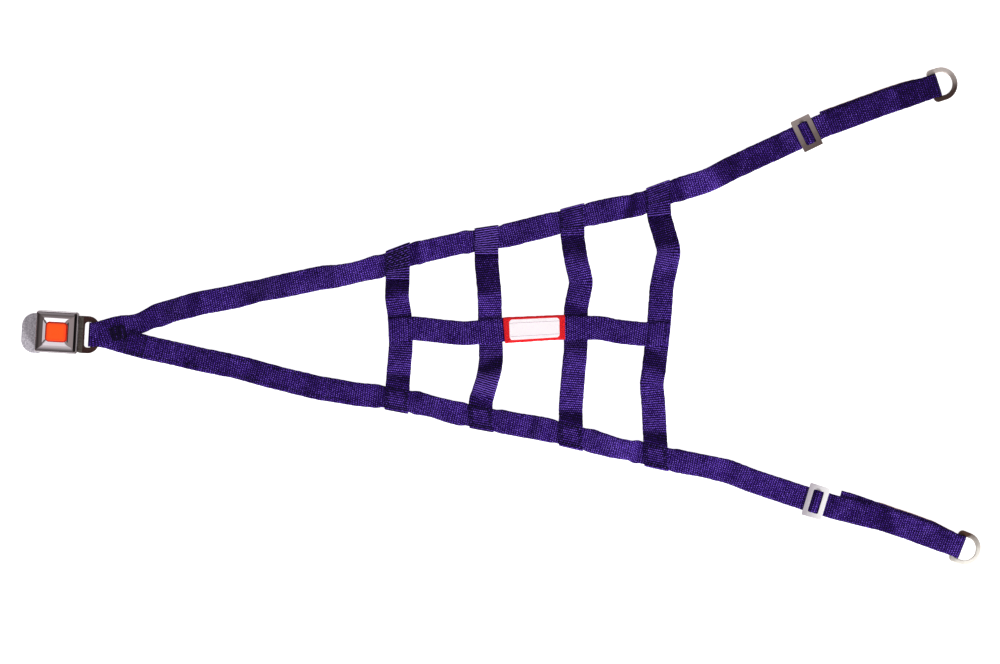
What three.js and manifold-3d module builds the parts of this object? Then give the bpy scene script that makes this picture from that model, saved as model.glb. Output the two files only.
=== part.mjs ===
// Roll cage net: a triangle of sewn webbing straps with a push-button buckle at its point
// and a slide and a D-ring at each of its two open ends. It lies flat on a surface.
// Millimetres. X runs from the buckle to the D-rings, Y across the net, Z up from the surface.
import * as THREE from 'three';
import Module from 'manifold-3d';
import { mergeVertices } from 'three/addons/utils/BufferGeometryUtils.js';

const wasm = await Module();
wasm.setup();
const { lerp, smoothstep, degToRad } = THREE.MathUtils;

// Webbing and the way its layers lie on each other
const WEB_WIDTH = 25.4;
const WEB_THICK = 1.4;
const GAP = 0.3;
const LAYER = WEB_THICK + GAP;
const HALF = WEB_WIDTH / 2;
const ROUNDING = 5.5;

// Steps along the webbing
const RUN_STEP = 3.4;
const TWIST_STEP = 3;
const FINE_STEP = 1.1;
const TURN_STEPS = 7;

// Flat stretch of a side strap at a crossing, and the length in which it comes down again
const CROSSING_FLAT = 18;
const CROSSING_RAMP = 11;

// Puts the middle of the whole net's outline on the origin
const CENTRING = { x: 0.21, y: -0.25 };

// A side strap is drawn in where a cross strap is folded round it
const DRAWN_IN = { pinch: 0.89, flat: 14.5, ramp: 7 };

// How far a sewn end runs past the strap that it is wrapped round
const END_PAST = 2;

// Buckle, in its own directions from the middle of its cover
const BUCKLE = { x: -469.6, y: -17.4, turn: -3.3 };
const LIP = { left: -37.6, right: -16, half: 21.3, mid: -1.4, corner: 14, innerCorner: 3, top: 4.5, bevel: 0.9 };
const FLOOR = { left: -20, right: 22.2, half: 20.4, mid: 0.6 };
const BLOCK = { left: -18.8, right: 20.4, half: 18.5, top: 12.4 };
const MOUTH = { right: 9, half: 13, top: 9.1 };
const POCKET_FLOOR = 9.8;
const BUTTON = { x: 0.6, y: 1.1, length: 21.8, width: 19.6, corner: 3, top: 16.4, edge: 1.3 };
const FLANGE = { out: 1.5, thick: 1.2 };

// Bracket plate that carries the webbing
const BRACKET = { bottom: 1.7, thick: 2.5, left: 10, neck: 15, shoulder: 22.9, half: 19.7, right: 44.5 };
const BRACKET_CORNER = 12;
const SLOT = { left: 29, right: 35.9, half: 13.4, corner: 3, barCorner: 1.4 };
const BAR_TURN = BRACKET.thick / 2 + GAP + WEB_THICK / 2;

// Slides: flat plates with a middle bar
const SLIDE = { length: 21.8, width: 35.4, thick: 1.5, bar: 5.4, end: 5.5, middle: 2, corner: 1.2, inner: 1.4 };
const SLIDE_BOTTOM = LAYER;
const SLIDE_OVER = SLIDE_BOTTOM + SLIDE.thick + GAP;
const SLIDE_PINCH = 0.925;
const SLIDE_RAMP = SLIDE.length / 2 - SLIDE.bar - SLIDE.middle / 2 - 0.2;

// D-rings, stamped and rounded; the leg is the straight stretch from the bar to the bow, and the
// bar lies a little back from the fold of the webbing
const RING = { width: 35.4, bar: 5, thick: 3.4, leg: 10, bevel: 1.2, corner: 5, back: 3 };
const RING_ROUND = Math.hypot(RING.bar / 2 - RING.bevel, RING.thick / 2 - RING.bevel) + RING.bevel;
const RING_TURN = RING_ROUND + GAP + 0.1 + WEB_THICK / 2;
const RING_PINCH = 0.955;
const RING_HEIGHT = WEB_THICK / 2 + RING_TURN;

// Label
const LABEL = { left: 2.6, right: 67.2, widthLeft: 27.7, widthRight: 26.1, thick: 1 };

// Side straps, left to right: the middle line in plan, how high the underside lies, and the
// tilt of the webbing in degrees, which is positive where the edge at +Y stands up
const UPPER = [
  { x: -450.0, y: -18.2, rise: 1.7, tilt: 0 },
  { x: -427.6, y: -19.5, rise: 1.7, tilt: 0 },
  { x: -420.6, y: -16.6, rise: 1.7, tilt: 0 },
  { x: -410.0, y: -13.1, rise: 1.7, tilt: 0 },
  { x: -393.7, y: -10.0, rise: 1.7, tilt: 0 },
  { x: -381.4, y: -7.1, rise: 1.7, tilt: 0 },
  { x: -369.3, y: -0.8, rise: 0, tilt: 13 },
  { x: -346.0, y: 6.8, rise: 0, tilt: -22 },
  { x: -318.5, y: 14.4, rise: 0, tilt: 12 },
  { x: -290.0, y: 19.3, rise: 2, tilt: 9 },
  { x: -254.0, y: 27.7, rise: 0, tilt: -25 },
  { x: -217.0, y: 35.3, rise: 2, tilt: 8 },
  { x: -191.6, y: 41.0, rise: 0, tilt: -6 },
  { x: -172.0, y: 42.8, rise: 2, tilt: 24 },
  { x: -149.0, y: 47.6, rise: 1, tilt: 33 },
  { x: -124.9, y: 54.3, rise: 0, tilt: 6 },
  { x: -94.2, y: 65.9, rise: 0, tilt: 24 },
  { x: -66.0, y: 72.4, rise: 2, tilt: 24 },
  { x: -39.2, y: 78.4, rise: 0, tilt: 30 },
  { x: -1.1, y: 83.9, rise: 1, tilt: 10 },
  { x: 26.0, y: 90.9, rise: 0, tilt: -12 },
  { x: 49.7, y: 96.6, rise: 0, tilt: 14 },
  { x: 100.5, y: 109.8, rise: 1, tilt: -8 },
  { x: 128.0, y: 115.3, rise: 4, tilt: 17 },
  { x: 139.0, y: 116.6, rise: 0, tilt: 22 },
  { x: 189.4, y: 134.9, rise: 3, tilt: 10 },
  { x: 214.8, y: 142.5, rise: 2, tilt: 12 },
  { x: 227.0, y: 148.1, rise: 0, tilt: 12 },
  { x: 242.4, y: 156.5, rise: 2, tilt: -9 },
  { x: 272.0, y: 170.2, rise: 0, tilt: 8 },
  { x: 303.7, y: 184.7, rise: 0, tilt: -4 },
  { x: 336.0, y: 200.4, rise: 1.7, tilt: 0 },
  { x: 372.0, y: 213.6, rise: 3, tilt: 3 },
  { x: 405.3, y: 226.0, rise: 1.7, tilt: -2 },
  { x: 430.0, y: 234.2, rise: 2.5, tilt: 0 },
  { x: 452.0, y: 241.9, rise: 6.5, tilt: 0 },
  { x: 461.9, y: 245.0, rise: 6.5, tilt: 0 },
];
const LOWER = [
  { x: -450.0, y: -18.2, rise: 3.4, tilt: 0 },
  { x: -421.0, y: -19.9, rise: 3.4, tilt: 0 },
  { x: -402.2, y: -25.4, rise: 3.4, tilt: 0 },
  { x: -369.3, y: -34.0, rise: 1.7, tilt: 0 },
  { x: -345.0, y: -39.1, rise: 0, tilt: 9 },
  { x: -318.5, y: -45.4, rise: 1, tilt: -10 },
  { x: -280.4, y: -53.0, rise: 0, tilt: 12 },
  { x: -254.0, y: -60.3, rise: 2, tilt: -9 },
  { x: -229.7, y: -66.7, rise: 0, tilt: 13 },
  { x: -194.0, y: -75.3, rise: 3, tilt: -8 },
  { x: -172.0, y: -78.8, rise: 0, tilt: 9 },
  { x: -153.5, y: -82.2, rise: 1, tilt: 12 },
  { x: -122.8, y: -84.9, rise: 0, tilt: 0 },
  { x: -90.0, y: -91.0, rise: 0, tilt: 14 },
  { x: -72.0, y: -95.2, rise: 0, tilt: 28 },
  { x: -51.9, y: -101.1, rise: 2, tilt: 14 },
  { x: -1.1, y: -110.7, rise: 3, tilt: 6 },
  { x: 22.0, y: -115.3, rise: 0, tilt: 12 },
  { x: 41.0, y: -118.0, rise: 4, tilt: -13 },
  { x: 56.0, y: -121.8, rise: 0, tilt: 9 },
  { x: 87.8, y: -129.3, rise: 0, tilt: 8 },
  { x: 120.0, y: -138.7, rise: 3, tilt: 28 },
  { x: 138.6, y: -141.9, rise: 1, tilt: 34 },
  { x: 189.4, y: -153.4, rise: 0, tilt: 10 },
  { x: 214.8, y: -157.9, rise: 3, tilt: 19 },
  { x: 240.2, y: -163.9, rise: 0, tilt: 4 },
  { x: 265.6, y: -173.8, rise: 2, tilt: 10 },
  { x: 316.4, y: -190.8, rise: 0, tilt: 0 },
  { x: 354.5, y: -202.3, rise: 1.8, tilt: 0 },
  { x: 366.0, y: -204.9, rise: 1.7, tilt: 0 },
  { x: 386.0, y: -210.0, rise: 3.5, tilt: 4 },
  { x: 402.0, y: -213.7, rise: 1.7, tilt: 0 },
  { x: 430.7, y: -223.3, rise: 1.7, tilt: 0 },
  { x: 452.0, y: -231.1, rise: 2.4, tilt: 0 },
  { x: 477.0, y: -240.4, rise: 6.5, tilt: 0 },
  { x: 486.8, y: -244.3, rise: 6.5, tilt: 0 },
];

// Cross straps, bottom to top: the middle line, the height of the underside, the tilt (positive
// where the edge at -X stands up), and the slant of a fold across the webbing
const CROSS = [
  [
    { y: -109.7, x: -111.7, rise: 0, tilt: 0, slant: 0 },
    { y: -58.9, x: -108.8, rise: 0, tilt: 0, slant: 0 },
    { y: -43.0, x: -107.3, rise: 2, tilt: -3, slant: 0 },
    { y: -30.4, x: -106.3, rise: 0, tilt: 0, slant: 0 },
    { y: -1.8, x: -107.4, rise: 0, tilt: 0, slant: 0 },
    { y: 8.0, x: -108.5, rise: 2.4, tilt: 2, slant: 0 },
    { y: 17.3, x: -110.3, rise: 4, tilt: 4, slant: 0.12 },
    { y: 23.0, x: -110.3, rise: 4.8, tilt: 3, slant: 0.1 },
    { y: 42.0, x: -109.7, rise: 0, tilt: 0, slant: 0 },
    { y: 80.7, x: -109.5, rise: 0, tilt: 0, slant: 0 },
  ],
  [
    { y: -130.9, x: -20.6, rise: 0, tilt: 0, slant: 0 },
    { y: -90.7, x: -22.2, rise: 0, tilt: -12, slant: 0 },
    { y: -63.2, x: -13.8, rise: 7.5, tilt: -18, slant: -0.42 },
    { y: -48.0, x: -11.0, rise: 2.5, tilt: 0, slant: -0.42 },
    { y: -30.0, x: -11.1, rise: 0.8, tilt: 0, slant: 0 },
    { y: -17.0, x: -12.1, rise: 0, tilt: 0, slant: 0 },
    { y: 4.0, x: -12.1, rise: 1, tilt: 0, slant: 0 },
    { y: 21.5, x: -12.4, rise: 7.5, tilt: 2, slant: 0.05 },
    { y: 57.5, x: -15.7, rise: 0, tilt: 0, slant: 0 },
    { y: 107.2, x: -15.9, rise: 0, tilt: 0, slant: 0 },
  ],
  [
    { y: -152.1, x: 73.6, rise: 0, tilt: 0, slant: 0 },
    { y: -97.0, x: 73.2, rise: 0, tilt: 0, slant: 0 },
    { y: -60.0, x: 76.0, rise: 2.5, tilt: 2, slant: 0 },
    { y: -36.0, x: 78.3, rise: 2, tilt: -16, slant: 0.2 },
    { y: -20.0, x: 78.8, rise: 0, tilt: 0, slant: 0 },
    { y: 4.0, x: 78.7, rise: 0, tilt: 0, slant: 0 },
    { y: 11.0, x: 79.1, rise: 3.6, tilt: 0, slant: 0 },
    { y: 36.4, x: 84.6, rise: 1.6, tilt: -6, slant: 0.1 },
    { y: 58.5, x: 79.0, rise: 5.2, tilt: -12, slant: 0.3 },
    { y: 82.9, x: 75.3, rise: 0, tilt: 0, slant: 0 },
    { y: 128.4, x: 74.6, rise: 0, tilt: 0, slant: 0 },
  ],
  [
    { y: -173.2, x: 164.6, rise: 0, tilt: 0, slant: 0 },
    { y: -112.0, x: 161.7, rise: 0, tilt: 0, slant: 0 },
    { y: -92.0, x: 160.7, rise: 1.5, tilt: 3, slant: 0 },
    { y: -71.6, x: 158.6, rise: 3.5, tilt: 5, slant: 0 },
    { y: -58.0, x: 160.7, rise: 6.4, tilt: 0, slant: 0.05 },
    { y: -34.0, x: 163.8, rise: 0, tilt: 0, slant: 0 },
    { y: -1.0, x: 167.3, rise: 0, tilt: 0, slant: 0 },
    { y: 32.0, x: 169.3, rise: 1, tilt: -12, slant: 0 },
    { y: 69.1, x: 176.9, rise: 7.5, tilt: -15, slant: 0 },
    { y: 106.1, x: 166.8, rise: 0, tilt: 0, slant: 0 },
    { y: 149.5, x: 165.1, rise: 0, tilt: 0, slant: 0 },
  ],
];

// Centre strap, left to right
const CENTRE = [
  { x: -121.7, y: -15.0, rise: 1.7, tilt: 0 },
  { x: -92.0, y: -12.3, rise: 1.7, tilt: 0 },
  { x: -64.6, y: -15.4, rise: 0.5, tilt: 2 },
  { x: -39.2, y: -18.0, rise: 1.7, tilt: 0 },
  { x: -14.0, y: -15.6, rise: 1.7, tilt: 0 },
  { x: 4.2, y: -13.5, rise: 1.7, tilt: 0 },
  { x: 62.4, y: -12.1, rise: 1.7, tilt: 0 },
  { x: 104.8, y: -11.9, rise: 1.7, tilt: 0 },
  { x: 121.0, y: -15.6, rise: 0.4, tilt: -3 },
  { x: 147.0, y: -18.4, rise: 1.7, tilt: 0 },
  { x: 181.0, y: -18.7, rise: 1.7, tilt: 0 },
];

// Where the slides and rings sit along X, and where the returning ends are cut
const UPPER_END = { slide: 322.8, ring: 458.2, cut: 341.5, offset: 2, drift: 0.4 };
const LOWER_END = { slide: 332.4, ring: 483.1, cut: 355.2, offset: 2.6, drift: 3.7 };

// At the buckle: where the upper strap's returning tail and the lower strap's end are cut
const TAIL_CUT = -377;
const LOWER_CUT = -397;

// How far the centre strap's ends stand from the middle lines of the first and last cross strap
const CENTRE_ENDS = { left: 12.4, right: 12 };

// Finishes
const finish = (color, roughness, metalness) =>
  new THREE.MeshStandardMaterial({ color, roughness, metalness });
const webbing = finish(0x2f1f64, 0.85, 0);
const labelCloth = finish(0xe9dadd, 0.8, 0);
const castGrey = finish(0x949098, 0.5, 0.8);
const chrome = finish(0xb0aab1, 0.15, 1);
const orange = finish(0xfe5814, 0.4, 0);
const darkSteel = finish(0x382421, 0.45, 0.8);
const nickel = finish(0xdad2cf, 0.3, 1);

// A column's value between the rows of a table, in straight lines from row to row
function read(table, along, column, at) {
  let i = 0;
  while (i < table.length - 2 && table[i + 1][along] < at) i += 1;
  const [a, b] = [table[i], table[i + 1]];
  return lerp(a[column], b[column], (at - a[along]) / (b[along] - a[along]));
}

// The same with the corners at the rows rounded off
function smooth(table, along, column, at) {
  const offsets = [-1, -0.5, 0, 0.5, 1];
  const sum = offsets.reduce((total, k) => total + read(table, along, column, at + k * ROUNDING), 0);
  return sum / offsets.length;
}

// 1 on a stretch round a place, 0 away from it
const hold = (distance, flat, ramp) => 1 - smoothstep(Math.abs(distance), flat, flat + ramp);

// A strap's course: its plan line along one axis, its table and the places that fix its height
class Course {
  constructor(table, along, stops = []) {
    this.table = table;
    this.along = along;
    this.across = along === 'x' ? 'y' : 'x';
    this.stops = stops;
  }

  plan(at) {
    return smooth(this.table, this.along, this.across, at);
  }

  slope(at) {
    return this.plan(at + 0.5) - this.plan(at - 0.5);
  }

  // Unit vector in plan towards the far end
  direction(at) {
    const slope = this.slope(at);
    return this.along === 'x'
      ? new THREE.Vector3(1, slope, 0).normalize()
      : new THREE.Vector3(slope, 1, 0).normalize();
  }

  point(at, height = 0) {
    const other = this.plan(at);
    return this.along === 'x' ? new THREE.Vector3(at, other, height) : new THREE.Vector3(other, at, height);
  }

  // The webbing at one place of the run: its middle, directions, width, tilt and skew
  station(at) {
    const stretch = Math.hypot(1, this.slope(at));
    let rise = Math.max(0, smooth(this.table, this.along, 'rise', at));
    let tilt = smooth(this.table, this.along, 'tilt', at);
    let width = WEB_WIDTH;
    let skew = 0;
    const slant = this.along === 'y' ? smooth(this.table, 'y', 'slant', at) : 0;
    let calm = 0;
    for (const stop of this.stops) {
      const h = hold((at - stop.at) * stretch, stop.flat, stop.ramp);
      rise = lerp(rise, stop.rise ?? rise, h);
      tilt = lerp(tilt, 0, stop.rise === undefined ? 0 : h);
      width *= lerp(1, stop.pinch ?? 1, h);
      skew = lerp(skew, stop.skew ?? skew, h);
      calm = Math.max(calm, h);
    }
    const lifted = (width / 2) * Math.sin(degToRad(Math.abs(tilt)));
    const middle = this.point(at, rise + lifted + WEB_THICK / 2);
    const bump = (a) => {
      const there = smooth(this.table, this.along, 'rise', at + slant * a);
      return (there - smooth(this.table, this.along, 'rise', at)) * (1 - calm);
    };
    return { middle, direction: this.direction(at), width, tilt, skew, bump };
  }
}

// Stations of a run: one at each row of the table and at each end of every flat stretch, and
// between them enough for the length and for the twist
function run(course, from, to) {
  const marks = [from, to, ...course.table.map((row) => row[course.along])];
  for (const stop of course.stops) {
    const reach = stop.flat + stop.ramp;
    marks.push(stop.at - reach, stop.at - stop.flat, stop.at + stop.flat, stop.at + reach);
  }
  const inside = marks.filter((mark) => mark >= from && mark <= to).sort((a, b) => a - b);
  const places = [from];
  for (const mark of inside) {
    const last = places[places.length - 1];
    if (mark - last < FINE_STEP / 2) continue;
    const middle = (mark + last) / 2;
    const near = course.stops.filter((stop) => Math.abs(middle - stop.at) < stop.flat + stop.ramp);
    const step = Math.min(RUN_STEP, ...near.map((stop) => stop.step ?? RUN_STEP));
    const twist = Math.abs(course.station(mark).tilt - course.station(last).tilt);
    const count = Math.ceil(Math.max((mark - last) / step, twist / TWIST_STEP));
    for (let k = 1; k <= count; k += 1) places.push(lerp(last, mark, k / count));
  }
  return places.map((place) => course.station(place));
}

// Stations of a half turn round a bar or an edge. Side 1 turns at the far end of the course,
// -1 at the near end; up says whether the webbing goes round from the bottom to the top.
function turn(course, at, height, radius, side, up, extra = {}) {
  const stations = [];
  const direction = course.direction(at);
  for (let k = 1; k < TURN_STEPS; k += 1) {
    const angle = (Math.PI * k) / TURN_STEPS;
    const middle = course.point(at, height);
    middle.addScaledVector(direction, side * radius * Math.sin(angle));
    middle.z += (up ? -1 : 1) * radius * Math.cos(angle);
    stations.push({ middle, direction, width: WEB_WIDTH, tilt: 0, skew: 0, bump: () => 0, ...extra });
  }
  return stations;
}

// Stations of a sewn layer at one height, moved sideways by offset, and by drift at its cut end
function layer(course, from, to, height, steps, extra = () => ({})) {
  const stations = [];
  for (let k = 0; k <= steps; k += 1) {
    const t = k / steps;
    const at = lerp(from, to, t);
    const more = extra(t);
    const direction = course.direction(at);
    const middle = course.point(at, height);
    middle.x -= direction.y * (more.offset ?? 0);
    middle.y += direction.x * (more.offset ?? 0);
    stations.push({ middle, direction, width: WEB_WIDTH, tilt: 0, skew: 0, bump: () => 0, ...more });
  }
  return stations;
}

// A strap as a solid: a box bent so that its length follows the stations
function strap(name, stations, material = webbing, thick = WEB_THICK) {
  const box = new THREE.BoxGeometry(1, 1, 1, stations.length - 1, 1, 1);
  const edge = (i, a) => {
    const s = stations[i];
    const tilt = degToRad(s.tilt);
    const left = new THREE.Vector3(-s.direction.y, s.direction.x, 0);
    const offset = a * s.width;
    const point = s.middle.clone().addScaledVector(left, offset * Math.cos(tilt));
    point.addScaledVector(s.direction, offset * s.skew);
    point.z += offset * Math.sin(tilt) + s.bump(-offset);
    return point;
  };
  const position = box.attributes.position;
  for (let v = 0; v < position.count; v += 1) {
    const i = Math.round((position.getX(v) + 0.5) * (stations.length - 1));
    const before = Math.max(i - 1, 0);
    const after = Math.min(i + 1, stations.length - 1);
    const a = position.getY(v);
    const ahead = edge(after, a).sub(edge(before, a));
    const across = edge(i, 0.5).sub(edge(i, -0.5));
    const normal = ahead.cross(across).normalize();
    const point = edge(i, a).addScaledVector(normal, position.getZ(v) * thick);
    position.setXYZ(v, point.x, point.y, point.z);
  }
  return piece(name, box, material);
}

// A named mesh from a geometry
function piece(name, geometry, material) {
  const mesh = new THREE.Mesh(geometry, material);
  mesh.name = name;
  return mesh;
}

// A geometry as a solid that can be cut and joined, and a solid as a geometry again
function solid(geometry) {
  const bare = geometry.clone();
  bare.deleteAttribute('normal');
  bare.deleteAttribute('uv');
  const merged = mergeVertices(bare);
  const vertProperties = new Float32Array(merged.attributes.position.array);
  const triVerts = new Uint32Array(merged.index.array);
  return new wasm.Manifold(new wasm.Mesh({ numProp: 3, vertProperties, triVerts }));
}

function surface(body) {
  const mesh = body.getMesh();
  const geometry = new THREE.BufferGeometry();
  geometry.setAttribute('position', new THREE.BufferAttribute(mesh.vertProperties, 3));
  geometry.setIndex(new THREE.BufferAttribute(mesh.triVerts, 1));
  geometry.computeVertexNormals();
  return geometry;
}

// A box from its limits
function block(x0, x1, y0, y1, z0, z1) {
  const geometry = new THREE.BoxGeometry(x1 - x0, y1 - y0, z1 - z0);
  return geometry.translate((x0 + x1) / 2, (y0 + y1) / 2, (z0 + z1) / 2);
}

// A rectangle with round corners, the left pair and the right pair each with a radius
function roundedShape(x0, x1, half, left, right, mid = 0) {
  const shape = new THREE.Shape();
  shape.moveTo(x0 + left, mid - half);
  shape.lineTo(x1 - right, mid - half);
  shape.absarc(x1 - right, mid - half + right, right, -Math.PI / 2, 0);
  shape.lineTo(x1, mid + half - right);
  shape.absarc(x1 - right, mid + half - right, right, 0, Math.PI / 2);
  shape.lineTo(x0 + left, mid + half);
  shape.absarc(x0 + left, mid + half - left, left, Math.PI / 2, Math.PI);
  shape.lineTo(x0, mid - half + left);
  shape.absarc(x0 + left, mid - half + left, left, Math.PI, Math.PI * 1.5);
  return shape;
}

// An outline as a plate from bottom to top, with its edges bevelled
function plate(shape, bottom, thick, bevel, curveSegments = 4, bevelSegments = 1) {
  const geometry = new THREE.ExtrudeGeometry(shape, {
    depth: thick - 2 * bevel,
    bevelEnabled: bevel > 0,
    bevelThickness: bevel,
    bevelSize: bevel,
    bevelOffset: -bevel,
    bevelSegments,
    curveSegments,
  });
  return geometry.translate(0, 0, bottom + bevel);
}

// Where a cross strap meets a side strap
function meet(cross, side) {
  let y = side.plan(0);
  for (let k = 0; k < 20; k += 1) y = side.plan(cross.plan(y));
  return { x: cross.plan(y), y };
}

// Courses and crossings

const upper = new Course(UPPER, 'x');
const lower = new Course(LOWER, 'x');
const centre = new Course(CENTRE, 'x');
const crosses = CROSS.map((table) => new Course(table, 'y'));

// Heights fixed by a crossing with cross strap number k
const crossings = crosses.map((cross) => {
  const top = meet(cross, upper);
  const bottom = meet(cross, lower);
  const middle = meet(cross, centre);
  const topSlope = upper.slope(top.x);
  const bottomSlope = lower.slope(bottom.x);
  return { top, bottom, middle, topSlope, bottomSlope };
});
const sideStops = (x) => [
  { at: x, rise: LAYER, flat: CROSSING_FLAT, ramp: CROSSING_RAMP },
  { at: x, ...DRAWN_IN },
];
upper.stops = crossings.flatMap((c) => sideStops(c.top.x));
lower.stops = crossings.flatMap((c) => sideStops(c.bottom.x));

// Half of a drawn-in strap's width as measured along a cross strap, and where a wrapped end is cut
const halfAlong = (slope) => HALF * DRAWN_IN.pinch * Math.hypot(1, slope);
const endReach = (slope) => HALF * (Math.hypot(1, slope) + Math.abs(slope)) + END_PAST;

// A slide lies on the strap, and the strap comes up over its middle bar
function slideStops(slide) {
  return [
    { at: slide, rise: 0, flat: SLIDE.length / 2 + 1, ramp: 8 },
    { at: slide, rise: SLIDE_OVER, flat: SLIDE.middle / 2, ramp: SLIDE_RAMP, step: FINE_STEP },
    { at: slide, pinch: SLIDE_PINCH, flat: SLIDE.length / 2 - SLIDE.bar, ramp: 4 },
  ];
}
function ringStop(ring) {
  return { at: ring, rise: RING_HEIGHT + RING_TURN - WEB_THICK / 2, flat: 7, ramp: 16, pinch: RING_PINCH };
}
upper.stops.push(...slideStops(UPPER_END.slide), ringStop(UPPER_END.ring));
lower.stops.push(...slideStops(LOWER_END.slide), ringStop(LOWER_END.ring));

// At the buckle the upper strap comes down from the bracket's bar onto its own returning tail, and
// the lower strap's end lies on top of both
const BAR_AT = BUCKLE.x + SLOT.right;
upper.stops.push({ at: -404, rise: LAYER, flat: 25, ramp: 12 });
upper.stops.push({ at: BAR_AT, rise: 2 * BAR_TURN, flat: 12, ramp: 13 });
upper.stops.push({ at: -381, pinch: 0.86, flat: 6, ramp: 14 });
lower.stops.push({ at: LOWER_CUT, rise: 2 * LAYER, flat: TAIL_CUT - LOWER_CUT + 1, ramp: 14 });

// The end of a side strap: round the ring's bar and back under itself to its cut end
function ringEnd(course, end) {
  const pinch = { width: WEB_WIDTH * RING_PINCH };
  const round = turn(course, end.ring, RING_HEIGHT, RING_TURN, 1, false, pinch);
  const back = layer(course, end.ring, end.cut, WEB_THICK / 2, 13, (t) => ({
    width: WEB_WIDTH * lerp(RING_PINCH, 1, smoothstep(t, 0, 0.15)),
    offset: end.offset * smoothstep(t, 0.06, 0.28) + end.drift * smoothstep(t, 0.55, 1),
  }));
  return [...round, ...back];
}

// The upper strap starts with a tail under the lower strap, and goes round the bracket's bar
function upperStrap() {
  const tail = layer(lower, TAIL_CUT, BAR_AT, WEB_THICK / 2, 7);
  const round = turn(lower, BAR_AT, WEB_THICK / 2 + BAR_TURN, BAR_TURN, -1, true);
  const along = run(upper, BAR_AT, UPPER_END.ring);
  return strap('side_strap_upper', [...tail, ...round, ...along, ...ringEnd(upper, UPPER_END)]);
}

function lowerStrap() {
  const along = run(lower, LOWER_CUT, LOWER_END.ring);
  return strap('side_strap_lower', [...along, ...ringEnd(lower, LOWER_END)]);
}

// A cross strap lies under the upper side strap and its end is folded over it; at the lower
// side strap it lies on top, and its end is folded under
function crossStrap(k) {
  const course = crosses[k];
  const c = crossings[k];
  const topReach = endReach(c.topSlope);
  const bottomReach = endReach(c.bottomSlope);
  const topEdge = c.top.y + halfAlong(c.topSlope) + GAP * Math.hypot(1, c.topSlope);
  const bottomEdge = c.bottom.y - halfAlong(c.bottomSlope) - GAP * Math.hypot(1, c.bottomSlope);
  const topSkew = -(c.topSlope + course.slope(c.top.y));
  const bottomSkew = -(c.bottomSlope + course.slope(c.bottom.y));
  course.stops = [
    { at: c.top.y, rise: 0, flat: topReach, ramp: 9, skew: topSkew },
    { at: c.bottom.y, rise: 2 * LAYER, flat: bottomReach + 1, ramp: 8, skew: bottomSkew },
    { at: c.middle.y, rise: 0, flat: HALF + 2, ramp: 7 },
  ];
  const fold = WEB_THICK / 2 + LAYER;
  const tail = layer(course, c.bottom.y + bottomReach, bottomEdge, WEB_THICK / 2, 4, (t) => ({
    skew: bottomSkew * smoothstep(t, 0, 0.7),
  }));
  const under = turn(course, bottomEdge, fold, LAYER, -1, true, { skew: bottomSkew });
  const along = run(course, bottomEdge, topEdge);
  const over = turn(course, topEdge, fold, LAYER, 1, true, { skew: topSkew });
  const end = layer(course, topEdge, c.top.y - topReach, WEB_THICK / 2 + 2 * LAYER, 4, (t) => ({
    skew: topSkew * (1 - smoothstep(t, 0.3, 1)),
  }));
  return strap(`cross_strap_${k + 1}`, [...tail, ...under, ...along, ...over, ...end]);
}

// The centre strap lies on the cross straps, and ends at the outer edges of the first and the last
function centreStrap() {
  const first = crossings[0].middle;
  const last = crossings[3].middle;
  const left = first.x - CENTRE_ENDS.left;
  const right = last.x + CENTRE_ENDS.right;
  const leftSkew = centre.slope(left) + crosses[0].slope(first.y);
  const rightSkew = centre.slope(right) + crosses[3].slope(last.y);
  centre.stops = crossings.map((c, k) => (
    { at: c.middle.x, rise: LAYER, flat: HALF + 5, ramp: 9, skew: [leftSkew, 0, 0, rightSkew][k] }
  ));
  return strap('centre_strap', run(centre, left, right));
}

// The label lies on the centre strap between the second and the third cross strap
function label() {
  const height = LAYER + WEB_THICK + GAP + LABEL.thick / 2;
  const stations = layer(centre, LABEL.left, LABEL.right, height, 6, (t) => ({
    width: lerp(LABEL.widthLeft, LABEL.widthRight, t),
    offset: lerp(-1, 0.9, t),
  }));
  return strap('label', stations, labelCloth, LABEL.thick);
}

// A slide: a plate with two slots, its corners a little rounded
function slide(name, course, at) {
  const { length, width, bar, end, middle } = SLIDE;
  const shape = roundedShape(-length / 2, length / 2, width / 2, SLIDE.corner, SLIDE.corner);
  const inner = width / 2 - end;
  const outerSlot = length / 2 - bar;
  shape.holes.push(roundedShape(-outerSlot, -middle / 2, inner, SLIDE.inner, 0.6));
  shape.holes.push(roundedShape(middle / 2, outerSlot, inner, 0.6, SLIDE.inner));
  const mesh = piece(name, plate(shape, 0, SLIDE.thick, 0, 2), nickel);
  const direction = course.direction(at);
  mesh.position.copy(course.point(at, SLIDE_BOTTOM));
  mesh.rotation.z = Math.atan2(direction.y, direction.x);
  return mesh;
}

// A D-ring: a straight bar, two short legs and a round bow, tipped so that the bow is down
function ring(name, course, at) {
  const { width, bar, leg, thick, bevel, corner } = RING;
  const bow = (radius, start, round) => {
    const shape = new THREE.Shape();
    shape.moveTo(start + round, -radius);
    shape.lineTo(leg, -radius);
    shape.absarc(leg, 0, radius, -Math.PI / 2, Math.PI / 2);
    shape.lineTo(start + round, radius);
    if (round > 0) {
      shape.absarc(start + round, radius - round, round, Math.PI / 2, Math.PI);
      shape.lineTo(start, -radius + round);
      shape.absarc(start + round, -radius + round, round, Math.PI, Math.PI * 1.5);
    }
    return shape;
  };
  const outer = bow(width / 2, -bar / 2, corner);
  outer.holes.push(bow(width / 2 - bar, bar / 2, 0));
  const mesh = piece(name, plate(outer, -thick / 2, thick, bevel, 13, 2), nickel);
  const direction = course.direction(at);
  const reach = leg + width / 2 - bevel;
  mesh.position.copy(course.point(at, RING_HEIGHT)).addScaledVector(direction, -RING.back);
  mesh.rotation.order = 'ZYX';
  mesh.rotation.z = Math.atan2(direction.y, direction.x);
  mesh.rotation.y = Math.asin(RING_HEIGHT / Math.hypot(reach, thick / 2)) - Math.atan2(thick / 2, reach);
  return mesh;
}

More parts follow.
